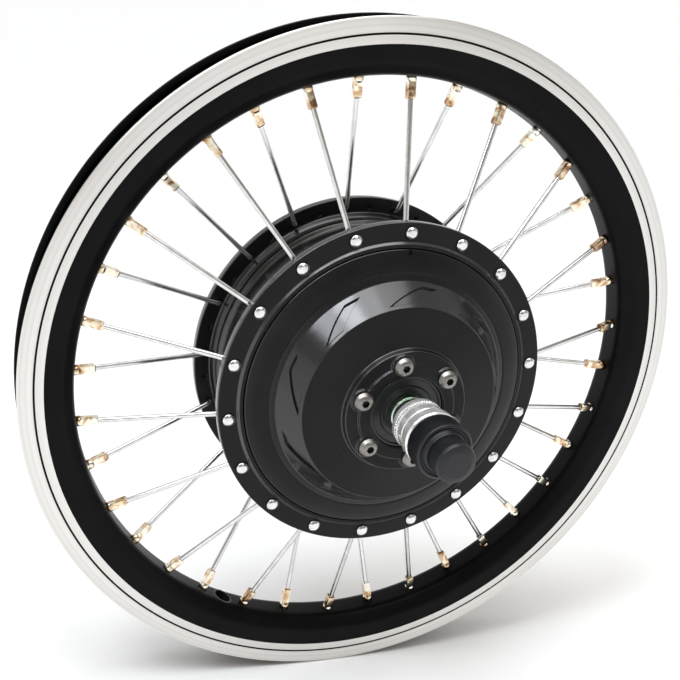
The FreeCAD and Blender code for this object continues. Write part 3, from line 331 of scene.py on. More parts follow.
def drawn_steel(name, colour, low, high, metallic=1.0):
    """Metal with faint handling marks."""
    material = make_material(name, colour, (low + high) / 2, metallic)
    tree, _, _ = nodes_of(material)
    darker = tuple(channel * 0.82 for channel in colour)
    vary_colour(material, noise(tree, 260.0, 4.0), [(0.3, darker), (0.62, colour)])
    vary_roughness(material, noise(tree, 420.0, 4.0), low, high)
    bump(material, noise(tree, 900.0, 2.0), 0.06, 0.00003)
    return material


def plated_nipple():
    """Pale nickel over brass, the brass showing warm where the plate is thin."""
    material = make_material("nipple_plate", (0.86, 0.8, 0.68), 0.2, 1.0)
    tree, _, _ = nodes_of(material)
    stops = [(0.45, (0.93, 0.90, 0.83)), (0.52, (0.88, 0.77, 0.57)), (0.58, (0.66, 0.44, 0.26)),
             (0.66, (0.28, 0.15, 0.09))]
    fine = math_node(tree, "MULTIPLY", noise(tree, 230.0, 3.0, distortion=0.8), 0.7)
    worn = math_node(tree, "ADD", fine, math_node(tree, "MULTIPLY", noise(tree, 28.0, 1.0), 0.35))
    vary_colour(material, worn, stops)
    vary_roughness(material, noise(tree, 500.0, 3.0), 0.1, 0.24)
    return material


def zinc_passivate():
    """Zinc plate whose passivated film shifts from green to violet."""
    material = make_material("zinc_passivate", (0.5, 0.6, 0.55), 0.22, 1.0)
    tree, _, _ = nodes_of(material)
    stops = [(0.3, (0.30, 0.36, 0.34)), (0.45, (0.42, 0.66, 0.46)), (0.58, (0.62, 0.68, 0.62)),
             (0.72, (0.42, 0.38, 0.52))]
    vary_colour(material, noise(tree, 120.0, 3.0, distortion=1.2), stops)
    vary_roughness(material, noise(tree, 400.0, 3.0), 0.14, 0.3)
    return material


def soft_rubber(name, colour, roughness):
    material = make_material(name, colour, roughness, 0.0, Specular_IOR_Level=0.45)
    tree, _, _ = nodes_of(material)
    lighter = tuple(channel * 1.7 for channel in colour)
    vary_colour(material, noise(tree, 90.0, 5.0), [(0.35, colour), (0.75, lighter)])
    vary_roughness(material, noise(tree, 300.0, 4.0), roughness - 0.06, roughness + 0.1)
    bump(material, noise(tree, 2600.0, 2.0), 0.15, 0.00004)
    return material


def turned_metal(name, colour, low, high):
    """Machined metal with rings about the axle."""
    material = make_material(name, colour, (low + high) / 2, 1.0)
    tree, _, _ = nodes_of(material)
    rings = ring_noise(tree, 5200.0, 5200.0)
    darker = tuple(channel * 0.8 for channel in colour)
    vary_colour(material, rings, [(0.3, darker), (0.7, colour)])
    vary_roughness(material, rings, low, high)
    bump(material, rings, 0.12, 0.00004)
    return material


def laminated_steel():
    """A stack of thin steel sheets, with varnish between them."""
    material = make_material("laminated_steel", (0.16, 0.17, 0.19), 0.45, 0.8)
    tree, nodes, _ = nodes_of(material)
    wave = nodes.new("ShaderNodeTexWave")
    wave.bands_direction = "Y"
    wave.inputs["Scale"].default_value = 320.0
    tree.links.new(object_position(tree), wave.inputs["Vector"])
    vary_colour(material, wave.outputs["Fac"], [(0.2, (0.05, 0.05, 0.06)), (0.6, (0.24, 0.25, 0.28))])
    bump(material, wave.outputs["Fac"], 0.4, 0.0001)
    return material


def wound_copper():
    """Enamelled wire, laid in turns."""
    material = make_material("wound_copper", (0.62, 0.26, 0.1), 0.3, 0.9, Coat_Weight=0.4)
    tree, nodes, _ = nodes_of(material)
    wave = nodes.new("ShaderNodeTexWave")
    wave.bands_direction = "DIAGONAL"
    wave.inputs["Scale"].default_value = 420.0
    tree.links.new(object_position(tree), wave.inputs["Vector"])
    vary_colour(material, wave.outputs["Fac"], [(0.1, (0.22, 0.07, 0.03)), (0.6, (0.72, 0.32, 0.13))])
    bump(material, wave.outputs["Fac"], 0.7, 0.0002)
    return material


def moulded_nylon():
    material = make_material("moulded_nylon", (0.82, 0.79, 0.68), 0.42, 0.0, Subsurface_Weight=0.1,
                             Subsurface_Scale=0.002)
    tree, _, _ = nodes_of(material)
    stops = [(0.3, (0.78, 0.74, 0.62)), (0.7, (0.86, 0.84, 0.75))]
    vary_colour(material, noise(tree, 70.0, 4.0), stops)
    bump(material, noise(tree, 1500.0, 2.0), 0.1, 0.00004)
    return material


def circuit_board():
    material = make_material("circuit_board", (0.03, 0.16, 0.07), 0.35, 0.0, Coat_Weight=0.3)
    tree, nodes, _ = nodes_of(material)
    cells = nodes.new("ShaderNodeTexVoronoi")
    cells.inputs["Scale"].default_value = 260.0
    tree.links.new(object_position(tree), cells.inputs["Vector"])
    vary_colour(material, cells.outputs["Distance"], [(0.1, (0.05, 0.26, 0.11)), (0.5, (0.02, 0.12, 0.05))])
    return material


BLACK = (0.0056, 0.0054, 0.006)
BLACK_LIGHT = (0.0094, 0.009, 0.01)
RIM_BLACK = (0.0022, 0.0022, 0.0025)
RIM_BLACK_LIGHT = (0.004, 0.004, 0.0044)
MATERIALS = {
    "rim_paint": powder_coat("rim_paint", RIM_BLACK, RIM_BLACK_LIGHT, 0.34, 2400.0, 0.09),
    "hub_paint": hub_coat(),
    "spoke_steel": drawn_steel("spoke_steel", (0.82, 0.82, 0.82), 0.14, 0.26),
    "nipple_plate": plated_nipple(),
    "bolt_steel": drawn_steel("bolt_steel", (0.30, 0.285, 0.27), 0.3, 0.42),
    "plated_steel": drawn_steel("plated_steel", (0.96, 0.96, 0.95), 0.1, 0.22, metallic=0.7),
    "zinc_steel": zinc_passivate(),
    "cap_rubber": soft_rubber("cap_rubber", (0.0036, 0.0042, 0.0062), 0.32),
    "seal_rubber": soft_rubber("seal_rubber", (0.008, 0.008, 0.009), 0.3),
    "bearing_steel": turned_metal("bearing_steel", (0.7, 0.7, 0.71), 0.15, 0.28),
    "gear_steel": turned_metal("gear_steel", (0.42, 0.42, 0.44), 0.28, 0.42),
    "gear_nylon": moulded_nylon(),
    "carrier_alloy": turned_metal("carrier_alloy", (0.75, 0.75, 0.76), 0.25, 0.4),
    "bronze": turned_metal("bronze", (0.55, 0.36, 0.18), 0.3, 0.45),
    "rotor_steel": turned_metal("rotor_steel", (0.45, 0.46, 0.48), 0.25, 0.4),
    "magnet": drawn_steel("magnet_plate", (0.62, 0.62, 0.63), 0.12, 0.25),
    "lamination": laminated_steel(),
    "copper": wound_copper(),
    "board": circuit_board(),
    "axle_steel": turned_metal("axle_steel", (0.55, 0.55, 0.56), 0.2, 0.35),
}
TRACK = machined_track()
# Near-black for the inside of each bolt's hex socket: painted shade in the recess.
SOCKET_SHADE = make_material("socket_painted_shade", (0.012, 0.010, 0.009), 0.5, 0.3)


# ---- shapes ---------------------------------------------------------------------------------
# A shape is (points in millimetres, faces, material index of each face).

def corner_points(before, corner, after, radius, steps):
    """Points along the arc that rounds a corner, in the (radius, y) plane."""
    inward = (before - corner).normalized()
    outward = (after - corner).normalized()
    half = inward.angle(outward) / 2
    setback = radius / math.tan(half)
    centre = corner + (inward + outward).normalized() * (radius / math.sin(half))
    start = corner + inward * setback - centre
    end = corner + outward * setback - centre
    sweep = math.atan2(start.x * end.y - start.y * end.x, start.dot(end))
    points = []
    for step in range(steps + 1):
        turn = sweep * step / steps
        cosine, sine = math.cos(turn), math.sin(turn)
        points.append(centre + Vector((start.x * cosine - start.y * sine, start.x * sine + start.y * cosine)))
    return points


def rounded(points, steps=5):
    """Turns (radius, y) and (radius, y, corner radius) points into plain points."""
    corners = [Vector((point[0], point[1])) for point in points]
    result = []
    for index, point in enumerate(points):
        if len(point) == 2:
            result.append(corners[index])
            continue
        after = corners[(index + 1) % len(points)]
        result += corner_points(corners[index - 1], corners[index], after, point[2], steps)
    return result


def ring_shape(rings, closed, material=0):
    """Skins rings that all hold the same number of points; closed joins the last ring to the first."""
    count = len(rings[0])
    points = [point for ring in rings for point in ring]
    faces = []
    last = len(rings) if closed else len(rings) - 1
    for row in range(last):
        this = row * count
        following = ((row + 1) % len(rings)) * count
        for column in range(count):
            beside = (column + 1) % count
            faces.append((this + column, this + beside, following + beside, following + column))
    materials = [material] * len(faces)
    return points, faces, materials


def circle(radius, y, angles):
    return [Vector((radius * math.cos(t), y, radius * math.sin(t))) for t in angles]


def even_angles(count):
    return [TURN * step / count for step in range(count)]


def lathe(points, segments=192, steps=5, closed=True, angles=None, paint=None):
    """A turned shape about Y; paint gives each band's material from its two (radius, y) ends."""
    profile = rounded(points, steps)
    angles = angles or even_angles(segments)
    shape = ring_shape([circle(max(p.x, 0.0), p.y, angles) for p in profile], closed)
    if paint:
        bands = len(profile) if closed else len(profile) - 1
        materials = []
        for band in range(bands):
            first, second = profile[band], profile[(band + 1) % len(profile)]
            materials += [paint(first, second)] * len(angles)
        shape = (shape[0], shape[1], materials)
    return shape


def moved(shape, matrix):
    return [matrix @ point for point in shape[0]], shape[1], shape[2]


def joined(shapes):
    points, faces, materials = [], [], []
    for shape in shapes:
        base = len(points)
        points += shape[0]
        faces += [tuple(index + base for index in face) for face in shape[1]]
        materials += shape[2]
    return points, faces, materials


def turned_by(angle):
    """The turn about Y that carries +X towards +Z by an angle in degrees."""
    return Matrix.Rotation(-math.radians(angle), 4, "Y")


def around(shape, count, start=0.0):
    return joined([moved(shape, turned_by(start + 360.0 * step / count)) for step in range(count)])


def mirrored(shape):
    """The shape on the other side of the wheel."""
    return [Vector((p.x, -p.y, p.z)) for p in shape[0]], [face[::-1] for face in shape[1]], shape[2]


def place(name, data):
    """A new object in the scene."""
    piece = bpy.data.objects.new(name, data)
    bpy.context.scene.collection.objects.link(piece)
    return piece


def make_object(name, shape, materials, crease=32.0):
    mesh = bpy.data.meshes.new(name)
    mesh.from_pydata([point * MM for point in shape[0]], [], shape[1])
    for material in materials:
        mesh.materials.append(material)
    mesh.polygons.foreach_set("material_index", shape[2])
    edit = bmesh.new()
    edit.from_mesh(mesh)
    bmesh.ops.remove_doubles(edit, verts=edit.verts, dist=1e-7)
    bmesh.ops.dissolve_degenerate(edit, edges=edit.edges, dist=1e-8)
    bmesh.ops.recalc_face_normals(edit, faces=edit.faces)
    edit.to_mesh(mesh)
    edit.free()
    mesh.shade_smooth()
    mesh.set_sharp_from_angle(angle=math.radians(crease))
    return place(name, mesh)


def carve(piece, tool, crease=32.0):
    """Cuts one closed mesh object out of another and deletes the tool."""
    modifier = piece.modifiers.new("cut", "BOOLEAN")
    modifier.operation = "DIFFERENCE"
    modifier.solver = "EXACT"
    modifier.object = tool
    graph = bpy.context.evaluated_depsgraph_get()
    cut = bpy.data.meshes.new_from_object(piece.evaluated_get(graph))
    cut.name = piece.name
    piece.modifiers.clear()
    piece.data = cut
    cut.shade_smooth()
    cut.set_sharp_from_angle(angle=math.radians(crease))
    bpy.data.objects.remove(tool)


def block(name, centre, size):
    """A box-shaped tool from its centre and its size along X, Y and Z."""
    mesh = bpy.data.meshes.new(name)
    edit = bmesh.new()
    centring = Matrix.Translation(Vector(centre) * MM)
    bmesh.ops.create_cube(edit, size=1.0, matrix=centring @ Matrix.Diagonal((*(Vector(size) * MM), 1.0)))
    edit.to_mesh(mesh)
    edit.free()
    return place(name, mesh)


def hand_over(piece, body, node):
    """Hangs a piece on the body it rides on and hides the CAD node it stands for."""
    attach(piece, body)
    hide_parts(node)


def add(name, shape, body, slot, node, materials=None, crease=32.0):
    """Makes a piece that rides on a body and stands for one CAD node."""
    hand_over(make_object(name, shape, materials or [MATERIALS[slot]], crease), body, node)


def cylinder(radius, low, high, segments=32):
    return lathe([(0, low), (radius, low), (radius, high), (0, high)], segments)


# ---- spokes and nipples ---------------------------------------------------------------------

def spoke_lean():
    """How far a spoke leans from the radial line, in radians."""
    reach = BED_R + BED_THICKNESS - (SPOKE_CIRCLE_R + ELBOW_R)
    return math.atan2(FLANGE_INNER, reach) - math.asin(ELBOW_R / math.hypot(reach, FLANGE_INNER))


LEAN = spoke_lean()
SEAT = Vector((BED_R + BED_THICKNESS, 0, 0))
ALONG = Vector((math.cos(LEAN), math.sin(LEAN), 0))


def swept(path, radii, sides=18):
    """A round bar along points in the X-Y plane."""
    rings = []
    for index, point in enumerate(path):
        before = path[max(index - 1, 0)]
        after = path[min(index + 1, len(path) - 1)]
        forward = (after - before).normalized()
        side = Vector((forward.y, -forward.x, 0))
        ring = []
        for step in range(sides):
            t = TURN * step / sides
            ring.append(point + (side * math.cos(t) + Vector((0, 0, 1)) * math.sin(t)) * radii[index])
        rings.append(ring)
    return rings


def spoke():
    """Near-side spoke at angle 0: domed head outside the flange, elbow inside it, straight blade."""
    hole = Vector((SPOKE_CIRCLE_R, 0, 0))
    head = lathe([
        (0, -FLANGE_FACE - 1.5),
        (0.5, -FLANGE_FACE - 1.5),
        (HEAD_R * 0.62, -FLANGE_FACE - 1.42, 1.3),
        (HEAD_R, -FLANGE_FACE - 0.5, 0.45),
        (HEAD_R, -FLANGE_FACE + 0.05, 0.15),
        (SPOKE_R, -FLANGE_FACE + 0.9),
        (0, -FLANGE_FACE + 0.9)], 32, 6)
    head = moved(head, Matrix.Translation(hole))
    centre = hole + Vector((ELBOW_R, -FLANGE_INNER, 0))
    path = [hole + Vector((0, -FLANGE_FACE + 0.5, 0))]
    bend = math.pi / 2 - LEAN
    for step in range(11):
        t = bend * step / 10
        path.append(centre + Vector((-math.cos(t), math.sin(t), 0)) * ELBOW_R)
    start = path[-1]
    length = (SEAT - start).length
    path += [start + ALONG * (length * share) for share in (0.02, 0.5, 0.98)]
    return joined([head, ring_shape(swept(path, [SPOKE_R] * len(path)), False)])


def squared(half, roundness, sides, at):
    """A ring about Z between a circle (roundness 2) and a square (large roundness)."""
    ring = []
    for step in range(sides):
        t = TURN * step / sides + TURN / 8
        cosine, sine = math.cos(t), math.sin(t)
        size = (abs(cosine) ** roundness + abs(sine) ** roundness) ** (-1 / roundness)
        ring.append(Vector((half * size * cosine, half * size * sine, at)))
    return ring


def nipple():
    """Nipple about Z, its seat at the origin and its tip towards -Z."""
    sides = 48
    stations = [
        (0.0, 2, 2.6), (2.2, 2, 2.6), (2.9, 2, 1.9), (3.0, 2, 0.6), (2.9, 2, 0.0),
        (2.05, 2, -0.4), (2.0, 2, -2.2), (2.15, 2, -2.6), (2.35, 2, -3.0), (2.38, 2, -4.1),
        (2.2, 2.2, -4.5), (1.98, 3.0, -4.8), (1.8, 9, -5.05), (1.76, 12, -5.4), (1.76, 12, -11.5),
        (1.7, 10, -11.9), (1.5, 4, -12.2), (1.34, 2, -12.2), (1.25, 2, -11.9), (1.2, 2, -8.0)]
    rings = [squared(half, roundness, sides, at) for half, roundness, at in stations]
    shape = ring_shape(rings, False)
    aim = Matrix.Rotation(math.pi / 2, 4, "Y")
    lean = Matrix.Rotation(LEAN, 4, "Z")
    return moved(shape, Matrix.Translation(SEAT) @ lean @ aim)


def build_spokes():
    near = spoke()
    add("near_spoke_set", around(near, SPOKES_PER_SIDE, NEAR_ANGLE), "wheel", "spoke_steel", "near_spokes")
    far = around(mirrored(near), SPOKES_PER_SIDE, FAR_ANGLE)
    add("far_spoke_set", far, "wheel", "spoke_steel", "far_spokes")
    one = nipple()
    near_nipples = around(one, SPOKES_PER_SIDE, NEAR_ANGLE)
    far_nipples = around(mirrored(one), SPOKES_PER_SIDE, FAR_ANGLE)
    both = joined([near_nipples, far_nipples])
    add("nipple_set", both, "wheel", "nipple_plate", "spoke_nipples", crease=40.0)


# ---- rim ------------------------------------------------------------------------------------

def two_sided(half):
    other = [(point[0], -point[1]) + tuple(point[2:]) for point in reversed(half)]
    return half + other


def rim_paint_index(first, second):
    """Bare metal on the brake tracks, paint elsewhere and in the wear groove."""
    middle_r = (first.x + second.x) / 2
    flat = min(abs(first.y), abs(second.y)) > RIM_HALF - 0.02
    on_track = flat and TRACK_R < middle_r
    lip = middle_r > RIM_R - 1.0 and abs((first.y + second.y) / 2) > RIM_HALF - 0.8
    return 1 if on_track or lip else 0


def rim_outside():
    """Half of the rim's outer outline, from the spoke bed past the brake track to the tyre bed."""
    groove_low = GROOVE_R - GROOVE_WIDTH / 2
    groove_high = GROOVE_R + GROOVE_WIDTH / 2
    return [
        (BED_R, 5.6, 5.0),
        (*WALL_FOOT, 6.0),
        (TRACK_R - 0.35, RIM_HALF - 0.25, 0.2),
        (TRACK_R, RIM_HALF),
        (groove_low, RIM_HALF),
        (groove_low + 0.12, RIM_HALF - GROOVE_DEPTH),
        (groove_high - 0.12, RIM_HALF - GROOVE_DEPTH),
        (groove_high, RIM_HALF),
        (RIM_R, RIM_HALF, 0.7),
        (RIM_R, RIM_HALF - 2.2, 0.7),
        (RIM_R - 2.6, RIM_HALF - 2.4, 0.5),
        (RIM_R - 3.6, RIM_HALF - HOOK, 0.4),
        (BEAD_SEAT_R, RIM_HALF - HOOK),
        (152.3, 7.4, 1.0),
        (TYRE_BED_R, 5.2, 1.5)]


def rim_inside():
    """Half of the outline of the rim's hollow."""
    return [
        (BED_R + BED_THICKNESS, 5.0, 3.0),
        (141.0, 9.1, 5.0),
        (TRACK_R, RIM_HALF - HOOK),
        (150.8, RIM_HALF - HOOK),
        (150.8, 7.2, 1.0),
        (148.0, 4.9, 1.5)]


def seamed_skin():
    """The rim's outer skin, with a fine line pressed in where its two ends are joined."""
    seam = math.radians(SEAM_ANGLE)
    half_seam = SEAM_WIDTH / 2 / GROOVE_R
    angles = sorted([t for t in even_angles(540) if abs(t - seam) > 2 * half_seam] +
                    [seam - half_seam, seam, seam + half_seam])
    skin, faces, materials = lathe(two_sided(rim_outside()), angles=angles, paint=rim_paint_index, steps=6)
    points = []
    for point in skin:
        if abs(math.atan2(point.z, point.x) - seam) < 1e-6:
            core = Vector((point.x, 0, point.z)).normalized() * SEAM_CORE_R
            point = point + (core - point).normalized() * SEAM_DEPTH
        points.append(point)
    return points, faces, materials


def build_rim():
    rim = make_object("rim_body", seamed_skin(), [MATERIALS["rim_paint"], TRACK], 30.0)
    carve(rim, make_object("cavity_tool", lathe(two_sided(rim_inside()), 180, 3), []), 30.0)
    outward = Matrix.Rotation(-math.pi / 2, 4, "Z")
    at_seat = Matrix.Translation(SEAT) @ Matrix.Rotation(LEAN, 4, "Z") @ outward
    access = moved(cylinder(ACCESS_R, TRACK_R, RIM_R + 7.1, 40), outward)
    valve = moved(cylinder(VALVE_R, BED_R - 3, BEAD_SEAT_R + 1.5, 48), outward)
    neck = moved(cylinder(NECK_R, -6.0, 3.0, 24), at_seat)
    tools = joined([
        around(access, 2 * SPOKES_PER_SIDE, NEAR_ANGLE),
        around(neck, SPOKES_PER_SIDE, NEAR_ANGLE),
        around(mirrored(neck), SPOKES_PER_SIDE, FAR_ANGLE),
        moved(valve, turned_by(VALVE_ANGLE))])
    carve(rim, make_object("hole_tool", tools, []), 30.0)
    hand_over(rim, "wheel", "rim")


# ---- hub ------------------------------------------------------------------------------------

def build_shell():
    """Drum, flanges and lips, with countersunk spoke holes and the small dimples between them."""
    inner = FLANGE_INNER
    half = [
        (DRUM_R - SEAM_GROOVE, 0.75),
        (DRUM_R, 1.0, 0.2),
        (DRUM_R, inner - 8.8, 1.0),
        (DRUM_BULGE_R, inner - 7.6, 0.8),
        (DRUM_BULGE_R, inner - 4.8, 0.6),
        (DRUM_NECK_R, inner - 3.9, 0.3),
        (68.2, inner - 3.0, 1.0),
        (69.6, inner, 1.2),
        (FLANGE_R, inner, 0.6),
        (FLANGE_R, FLANGE_FACE, 0.6),
        (68.6, FLANGE_FACE, 1.2),
        (67.5, LIP_FACE, 0.6),
        (DRUM_R, LIP_FACE + 0.1, 0.35),
        (REGISTER_R, LIP_FACE - 1.2),
        (REGISTER_R, REGISTER_END),
        (SHELL_BORE_R, REGISTER_END)]
    outside = two_sided(half[::-1])[::-1]
    shell = make_object("shell_body", lathe(outside, 432), [MATERIALS["hub_paint"]])
    sink = lathe([
        (0, -FLANGE_FACE - 1.0),
        (3.3, -FLANGE_FACE - 1.0),
        (3.15, -FLANGE_FACE),
        (1.35, -FLANGE_FACE + 1.5),
        (1.35, 1.0 - inner),
        (0, 1.0 - inner)], 32)
    dimple = lathe([
        (0, -inner - 1.1),
        (0.9, -inner - 0.9, 0.3),
        (1.45, -inner + 0.02),
        (1.5, -inner + 0.5),
        (0, -inner + 0.5)], 24)
    sink = moved(sink, Matrix.Translation((SPOKE_CIRCLE_R, 0, 0)))
    dimple = moved(dimple, Matrix.Translation((DIMPLE_CIRCLE_R, 0, 0)))
    tools = joined([
        around(sink, SPOKES_PER_SIDE, NEAR_ANGLE),
        around(mirrored(sink), SPOKES_PER_SIDE, FAR_ANGLE),
        around(dimple, SPOKES_PER_SIDE, FAR_ANGLE),
        around(mirrored(dimple), SPOKES_PER_SIDE, NEAR_ANGLE)])
    carve(shell, make_object("shell_tool", tools, []))
    hand_over(shell, "wheel", "hub_shell")


def smooth(value):
    value = max(0.0, min(1.0, value))
    return value * value * (3 - 2 * value)


def hump_rings():
    """The conical wall with its slanted recesses, from the foot to the top, as rings."""
    run = HUMP_FOOT[0] - HUMP_TOP[0]
    rise = HUMP_TOP[1] - HUMP_FOOT[1]
    slope = math.hypot(run, rise)
    low = (SLASH_FOOT[2] - HUMP_FOOT[1]) * slope / rise
    high = (SLASH_HEAD[2] - HUMP_FOOT[1]) * slope / rise
    rows = sorted({0.9, slope - 0.7} | {low + o for o in SLASH_EDGE} | {high - o for o in SLASH_EDGE}
                  | {low + (high - low) * share for share in SLASH_MIDDLE})
    rings = []
    for along in rows:
        radius = HUMP_FOOT[0] - run * along / slope
        height = HUMP_FOOT[1] + rise * along / slope
        share = (along - low) / (high - low)
        left = math.radians(SLASH_FOOT[0] + (SLASH_HEAD[0] - SLASH_FOOT[0]) * share)
        right = math.radians(SLASH_FOOT[1] + (SLASH_HEAD[1] - SLASH_FOOT[1]) * share)
        columns = [left + o / radius for o in SLASH_EDGE]
        columns += [left + (right - left) * part for part in SLASH_MIDDLE]
        columns += [right - o / radius for o in reversed(SLASH_EDGE)]
        gap_start, gap_end = columns[-1], columns[0] + TURN / SLASHES
        columns += [gap_start + (gap_end - gap_start) * part / GAP_COLUMNS for part in range(1, GAP_COLUMNS)]
        ring = []
        for sector in range(SLASHES):
            for column in columns:
                inside = min((column - left) * radius, (right - column) * radius, along - low, high - along)
                depth = SLASH_DEPTH * smooth(inside / SLASH_WALL)
                angle = column + TURN * sector / SLASHES
                r = radius - depth * rise / slope
                y = depth * run / slope - height
                ring.append(Vector((r * math.cos(angle), y, r * math.sin(angle))))
        rings.append(ring)
    return rings


def ring_angles(ring):
    return [math.atan2(point.z, point.x) for point in ring]


def lobed(offset, y, angles):
    """The raised brake-disc seat's outline: a ring with a round lobe at each bolt."""
    ring = []
    for t in angles:
        pitch = TURN / BOLT_COUNT
        from_bolt = (t - math.radians(BOLT_ANGLE) + pitch / 2) % pitch - pitch / 2
        radius = PAD_RING_R + offset
        reach = PAD_R + offset
        across = BOLT_CIRCLE_R * math.sin(from_bolt)
        if abs(across) < reach:
            radius = max(radius, BOLT_CIRCLE_R * math.cos(from_bolt) + math.sqrt(reach ** 2 - across ** 2))
        ring.append(Vector((radius * math.cos(t), y, radius * math.sin(t))))
    return ring


def cover_rings():
    """The near cover, ring by ring: underside, rim, cone with its recesses, and boss."""
    hump = hump_rings()
    foot, top = ring_angles(hump[0]), ring_angles(hump[-1])
    before = rounded([
        (40.0, -22.0),
        (61.9, -22.0),
        (61.9, -COVER_INSIDE),
        (COVER_R, -COVER_INSIDE),
        (COVER_R, -COVER_EDGE, 0.7),
        (56.0, -29.87, 2.0)])
    foot_arc = rounded([(58.0, -29.31), (HUMP_FOOT[0], -HUMP_FOOT[1], 1.6), HUMP_TOP_POINT])[1:-1]
    rings = [circle(p.x, p.y, foot) for p in before[:-1] + foot_arc]
    rings += hump
    after = rounded([
        HUMP_FOOT_POINT,
        (HUMP_TOP[0], -HUMP_TOP[1], 1.0),
        (BOSS_R + 0.7, -44.75, 1.1),
        (BOSS_R, -BOSS_FACE, 0.9),
        (23.0, -BOSS_FACE),
        (17.0, -BOSS_FACE),
        (16.5, -46.5),
        (16.5, -38.0),
        (40.0, -38.0)], 6)[1:]
    return rings + [circle(p.x, p.y, top) for p in after]


def seat_rings():
    """The lobed brake-disc seat, from its foot up the fillet and over the face to its bore."""
    angles = even_angles(720)
    fillet = [(0.55, 0.1), (0.5, -0.02), (0.25, -0.14), (0.08, -0.36), (0.0, -0.6)]
    edge = [(-0.06, 0.4), (-0.2, 0.16), (-0.42, 0.03), (-0.65, 0.0)]
    bore = [(17.3, 0.0), (17.1, 0.05), (16.95, 0.2), (16.9, 0.5), (PAD_BORE_R, 0.55)]
    rings = [lobed(offset, rise - BOSS_FACE, angles) for offset, rise in fillet]
    rings += [lobed(offset, rise - PAD_FACE, angles) for offset, rise in edge]
    rings += [circle(radius, rise - PAD_FACE, angles) for radius, rise in bore]
    return rings + [circle(PAD_BORE_R, 0.1 - BOSS_FACE, angles)]


def build_near_cover():
    piece = make_object("near_cover_body", ring_shape(cover_rings(), True), [MATERIALS["hub_paint"]])
    carve(piece, block("notch_tool", (0, -COVER_EDGE, NOTCH_R), NOTCH_SIZE))
    hand_over(piece, "wheel", "near_cover")
    add("near_cover_seat", ring_shape(seat_rings(), True), "wheel", "hub_paint", "near_cover")


def thread(radius, low, high, pitch, depth):
    """Profile points of a thread drawn as rings, from low to high y."""
    turns = int((high - low) / pitch)
    points = []
    for turn in range(turns):
        y = low + turn * pitch
        points += [(radius - depth, y), (radius - depth, y + 0.12 * pitch), (radius, y + 0.45 * pitch),
                   (radius, y + 0.65 * pitch)]
    return points + [(radius - depth, low + turns * pitch)]


def build_far_cover():
    profile = [
        (58.3, 20.0),
        (58.3, COVER_INSIDE),
        (COVER_R, COVER_INSIDE),
        (COVER_R, COVER_EDGE, 0.7),
        (HUMP_FOOT[0], 30.2, 3.0),
        (46.0, 34.6, 3.0),
        (25.0, 37.2, 0.8),
        (22.5, 38.5, 0.5),
        (17.6, 38.5, 0.3)]
    profile += thread(FREEWHEEL_R, 39.2, 48.7, FREEWHEEL_PITCH, 0.55)
    profile += [
        (16.6, FREEWHEEL_END, 0.3),
        (13.6, FREEWHEEL_END),
        (FAR_SEAL_R, FREEWHEEL_END - 0.5),
        (FAR_SEAL_R, 33.0),
        (17.5, 33.0),
        (17.5, 22.0),
        (22.0, 22.0, 0.6),
        (22.0, 26.0, 1.5),
        (55.5, 26.0, 1.5),
        (55.5, 20.0)]
    cover = make_object("far_cover_body", lathe(profile, 360), [MATERIALS["hub_paint"]])
    pocket = lathe([
        (0, 15.0),
        (2.05, 15.0),
        (2.05, SCREW_SEAT),
        (3.6, SCREW_SEAT, 0.2),
        (3.6, 35.0),
        (0, 35.0)], 40)
    pocket = moved(pocket, Matrix.Translation((SCREW_CIRCLE_R, 0, 0)))
    carve(cover, make_object("pocket_tool", around(pocket, SCREWS), []))
    hand_over(cover, "wheel", "far_cover")


# ---- fasteners ------------------------------------------------------------------------------

def hexagon_ring(flats, y, count):
    """A hexagon's outline with as many points as the round rings beside it."""
    ring = []
    for step in range(count):
        t = TURN * step / count
        within = (t + math.pi / 6) % (math.pi / 3) - math.pi / 6
        radius = flats / 2 / math.cos(within)
        ring.append(Vector((radius * math.cos(t), y, radius * math.sin(t))))
    return ring


def socket_screw(head_points, top, key, depth, shank_points):
    """A screw about Y with its head towards -Y and a hexagon socket in the head, the socket's inside painted
    near-black as shade.
    """
    count = 72
    angles = even_angles(count)
    rings = [hexagon_ring(key, top + depth, count), hexagon_ring(key, top + 0.12, count),
             circle(key * 0.6 + 0.12, top, angles)]
    rings += [circle(p.x, p.y, angles) for p in rounded(head_points + shank_points, 6)]
    rings.append(circle(0, shank_points[-1][1], angles))
    rings.insert(0, circle(0, top + depth + 0.5, angles))
    points, faces, materials = ring_shape(rings, False)
    # The socket's bottom and walls take the second material, the painted shade.
    return points, faces, [1] * (2 * count) + materials[2 * count:]


def build_disc_bolts():
    top = -PAD_FACE - 3.0
    head = [
        (2.3, top + 0.05),
        (3.35, top + 0.75, 1.6),
        (4.25, -PAD_FACE - 0.75, 0.5),
        (4.25, -PAD_FACE, 0.12)]
    bolt = socket_screw(head, top, 3.0, 2.1, [(2.45, -PAD_FACE), (2.45, -PAD_FACE + 11.0)])
    bolt = moved(bolt, Matrix.Translation((BOLT_CIRCLE_R, 0, 0)))
    add("disc_bolt_set", around(bolt, BOLT_COUNT, BOLT_ANGLE), "wheel", "bolt_steel", "disc_bolts",
        [MATERIALS["bolt_steel"], SOCKET_SHADE])


def build_cover_screws():
    seat = -SCREW_SEAT
    top = seat - 2.4
    head = [
        (2.2, top + 0.03),
        (2.9, top + 0.35, 0.8),
        (3.3, seat - 1.5, 0.5),
        (3.3, seat, 0.15)]
    screw = socket_screw(head, top, 2.5, 1.6, [(1.95, seat), (1.95, seat + 11.0)])
    screw = mirrored(moved(screw, Matrix.Translation((SCREW_CIRCLE_R, 0, 0))))
    add("cover_screw_set", around(screw, SCREWS), "wheel", "bolt_steel", "cover_screws",
        [MATERIALS["bolt_steel"], SOCKET_SHADE])


# ---- axle stack -----------------------------------------------------------------------------

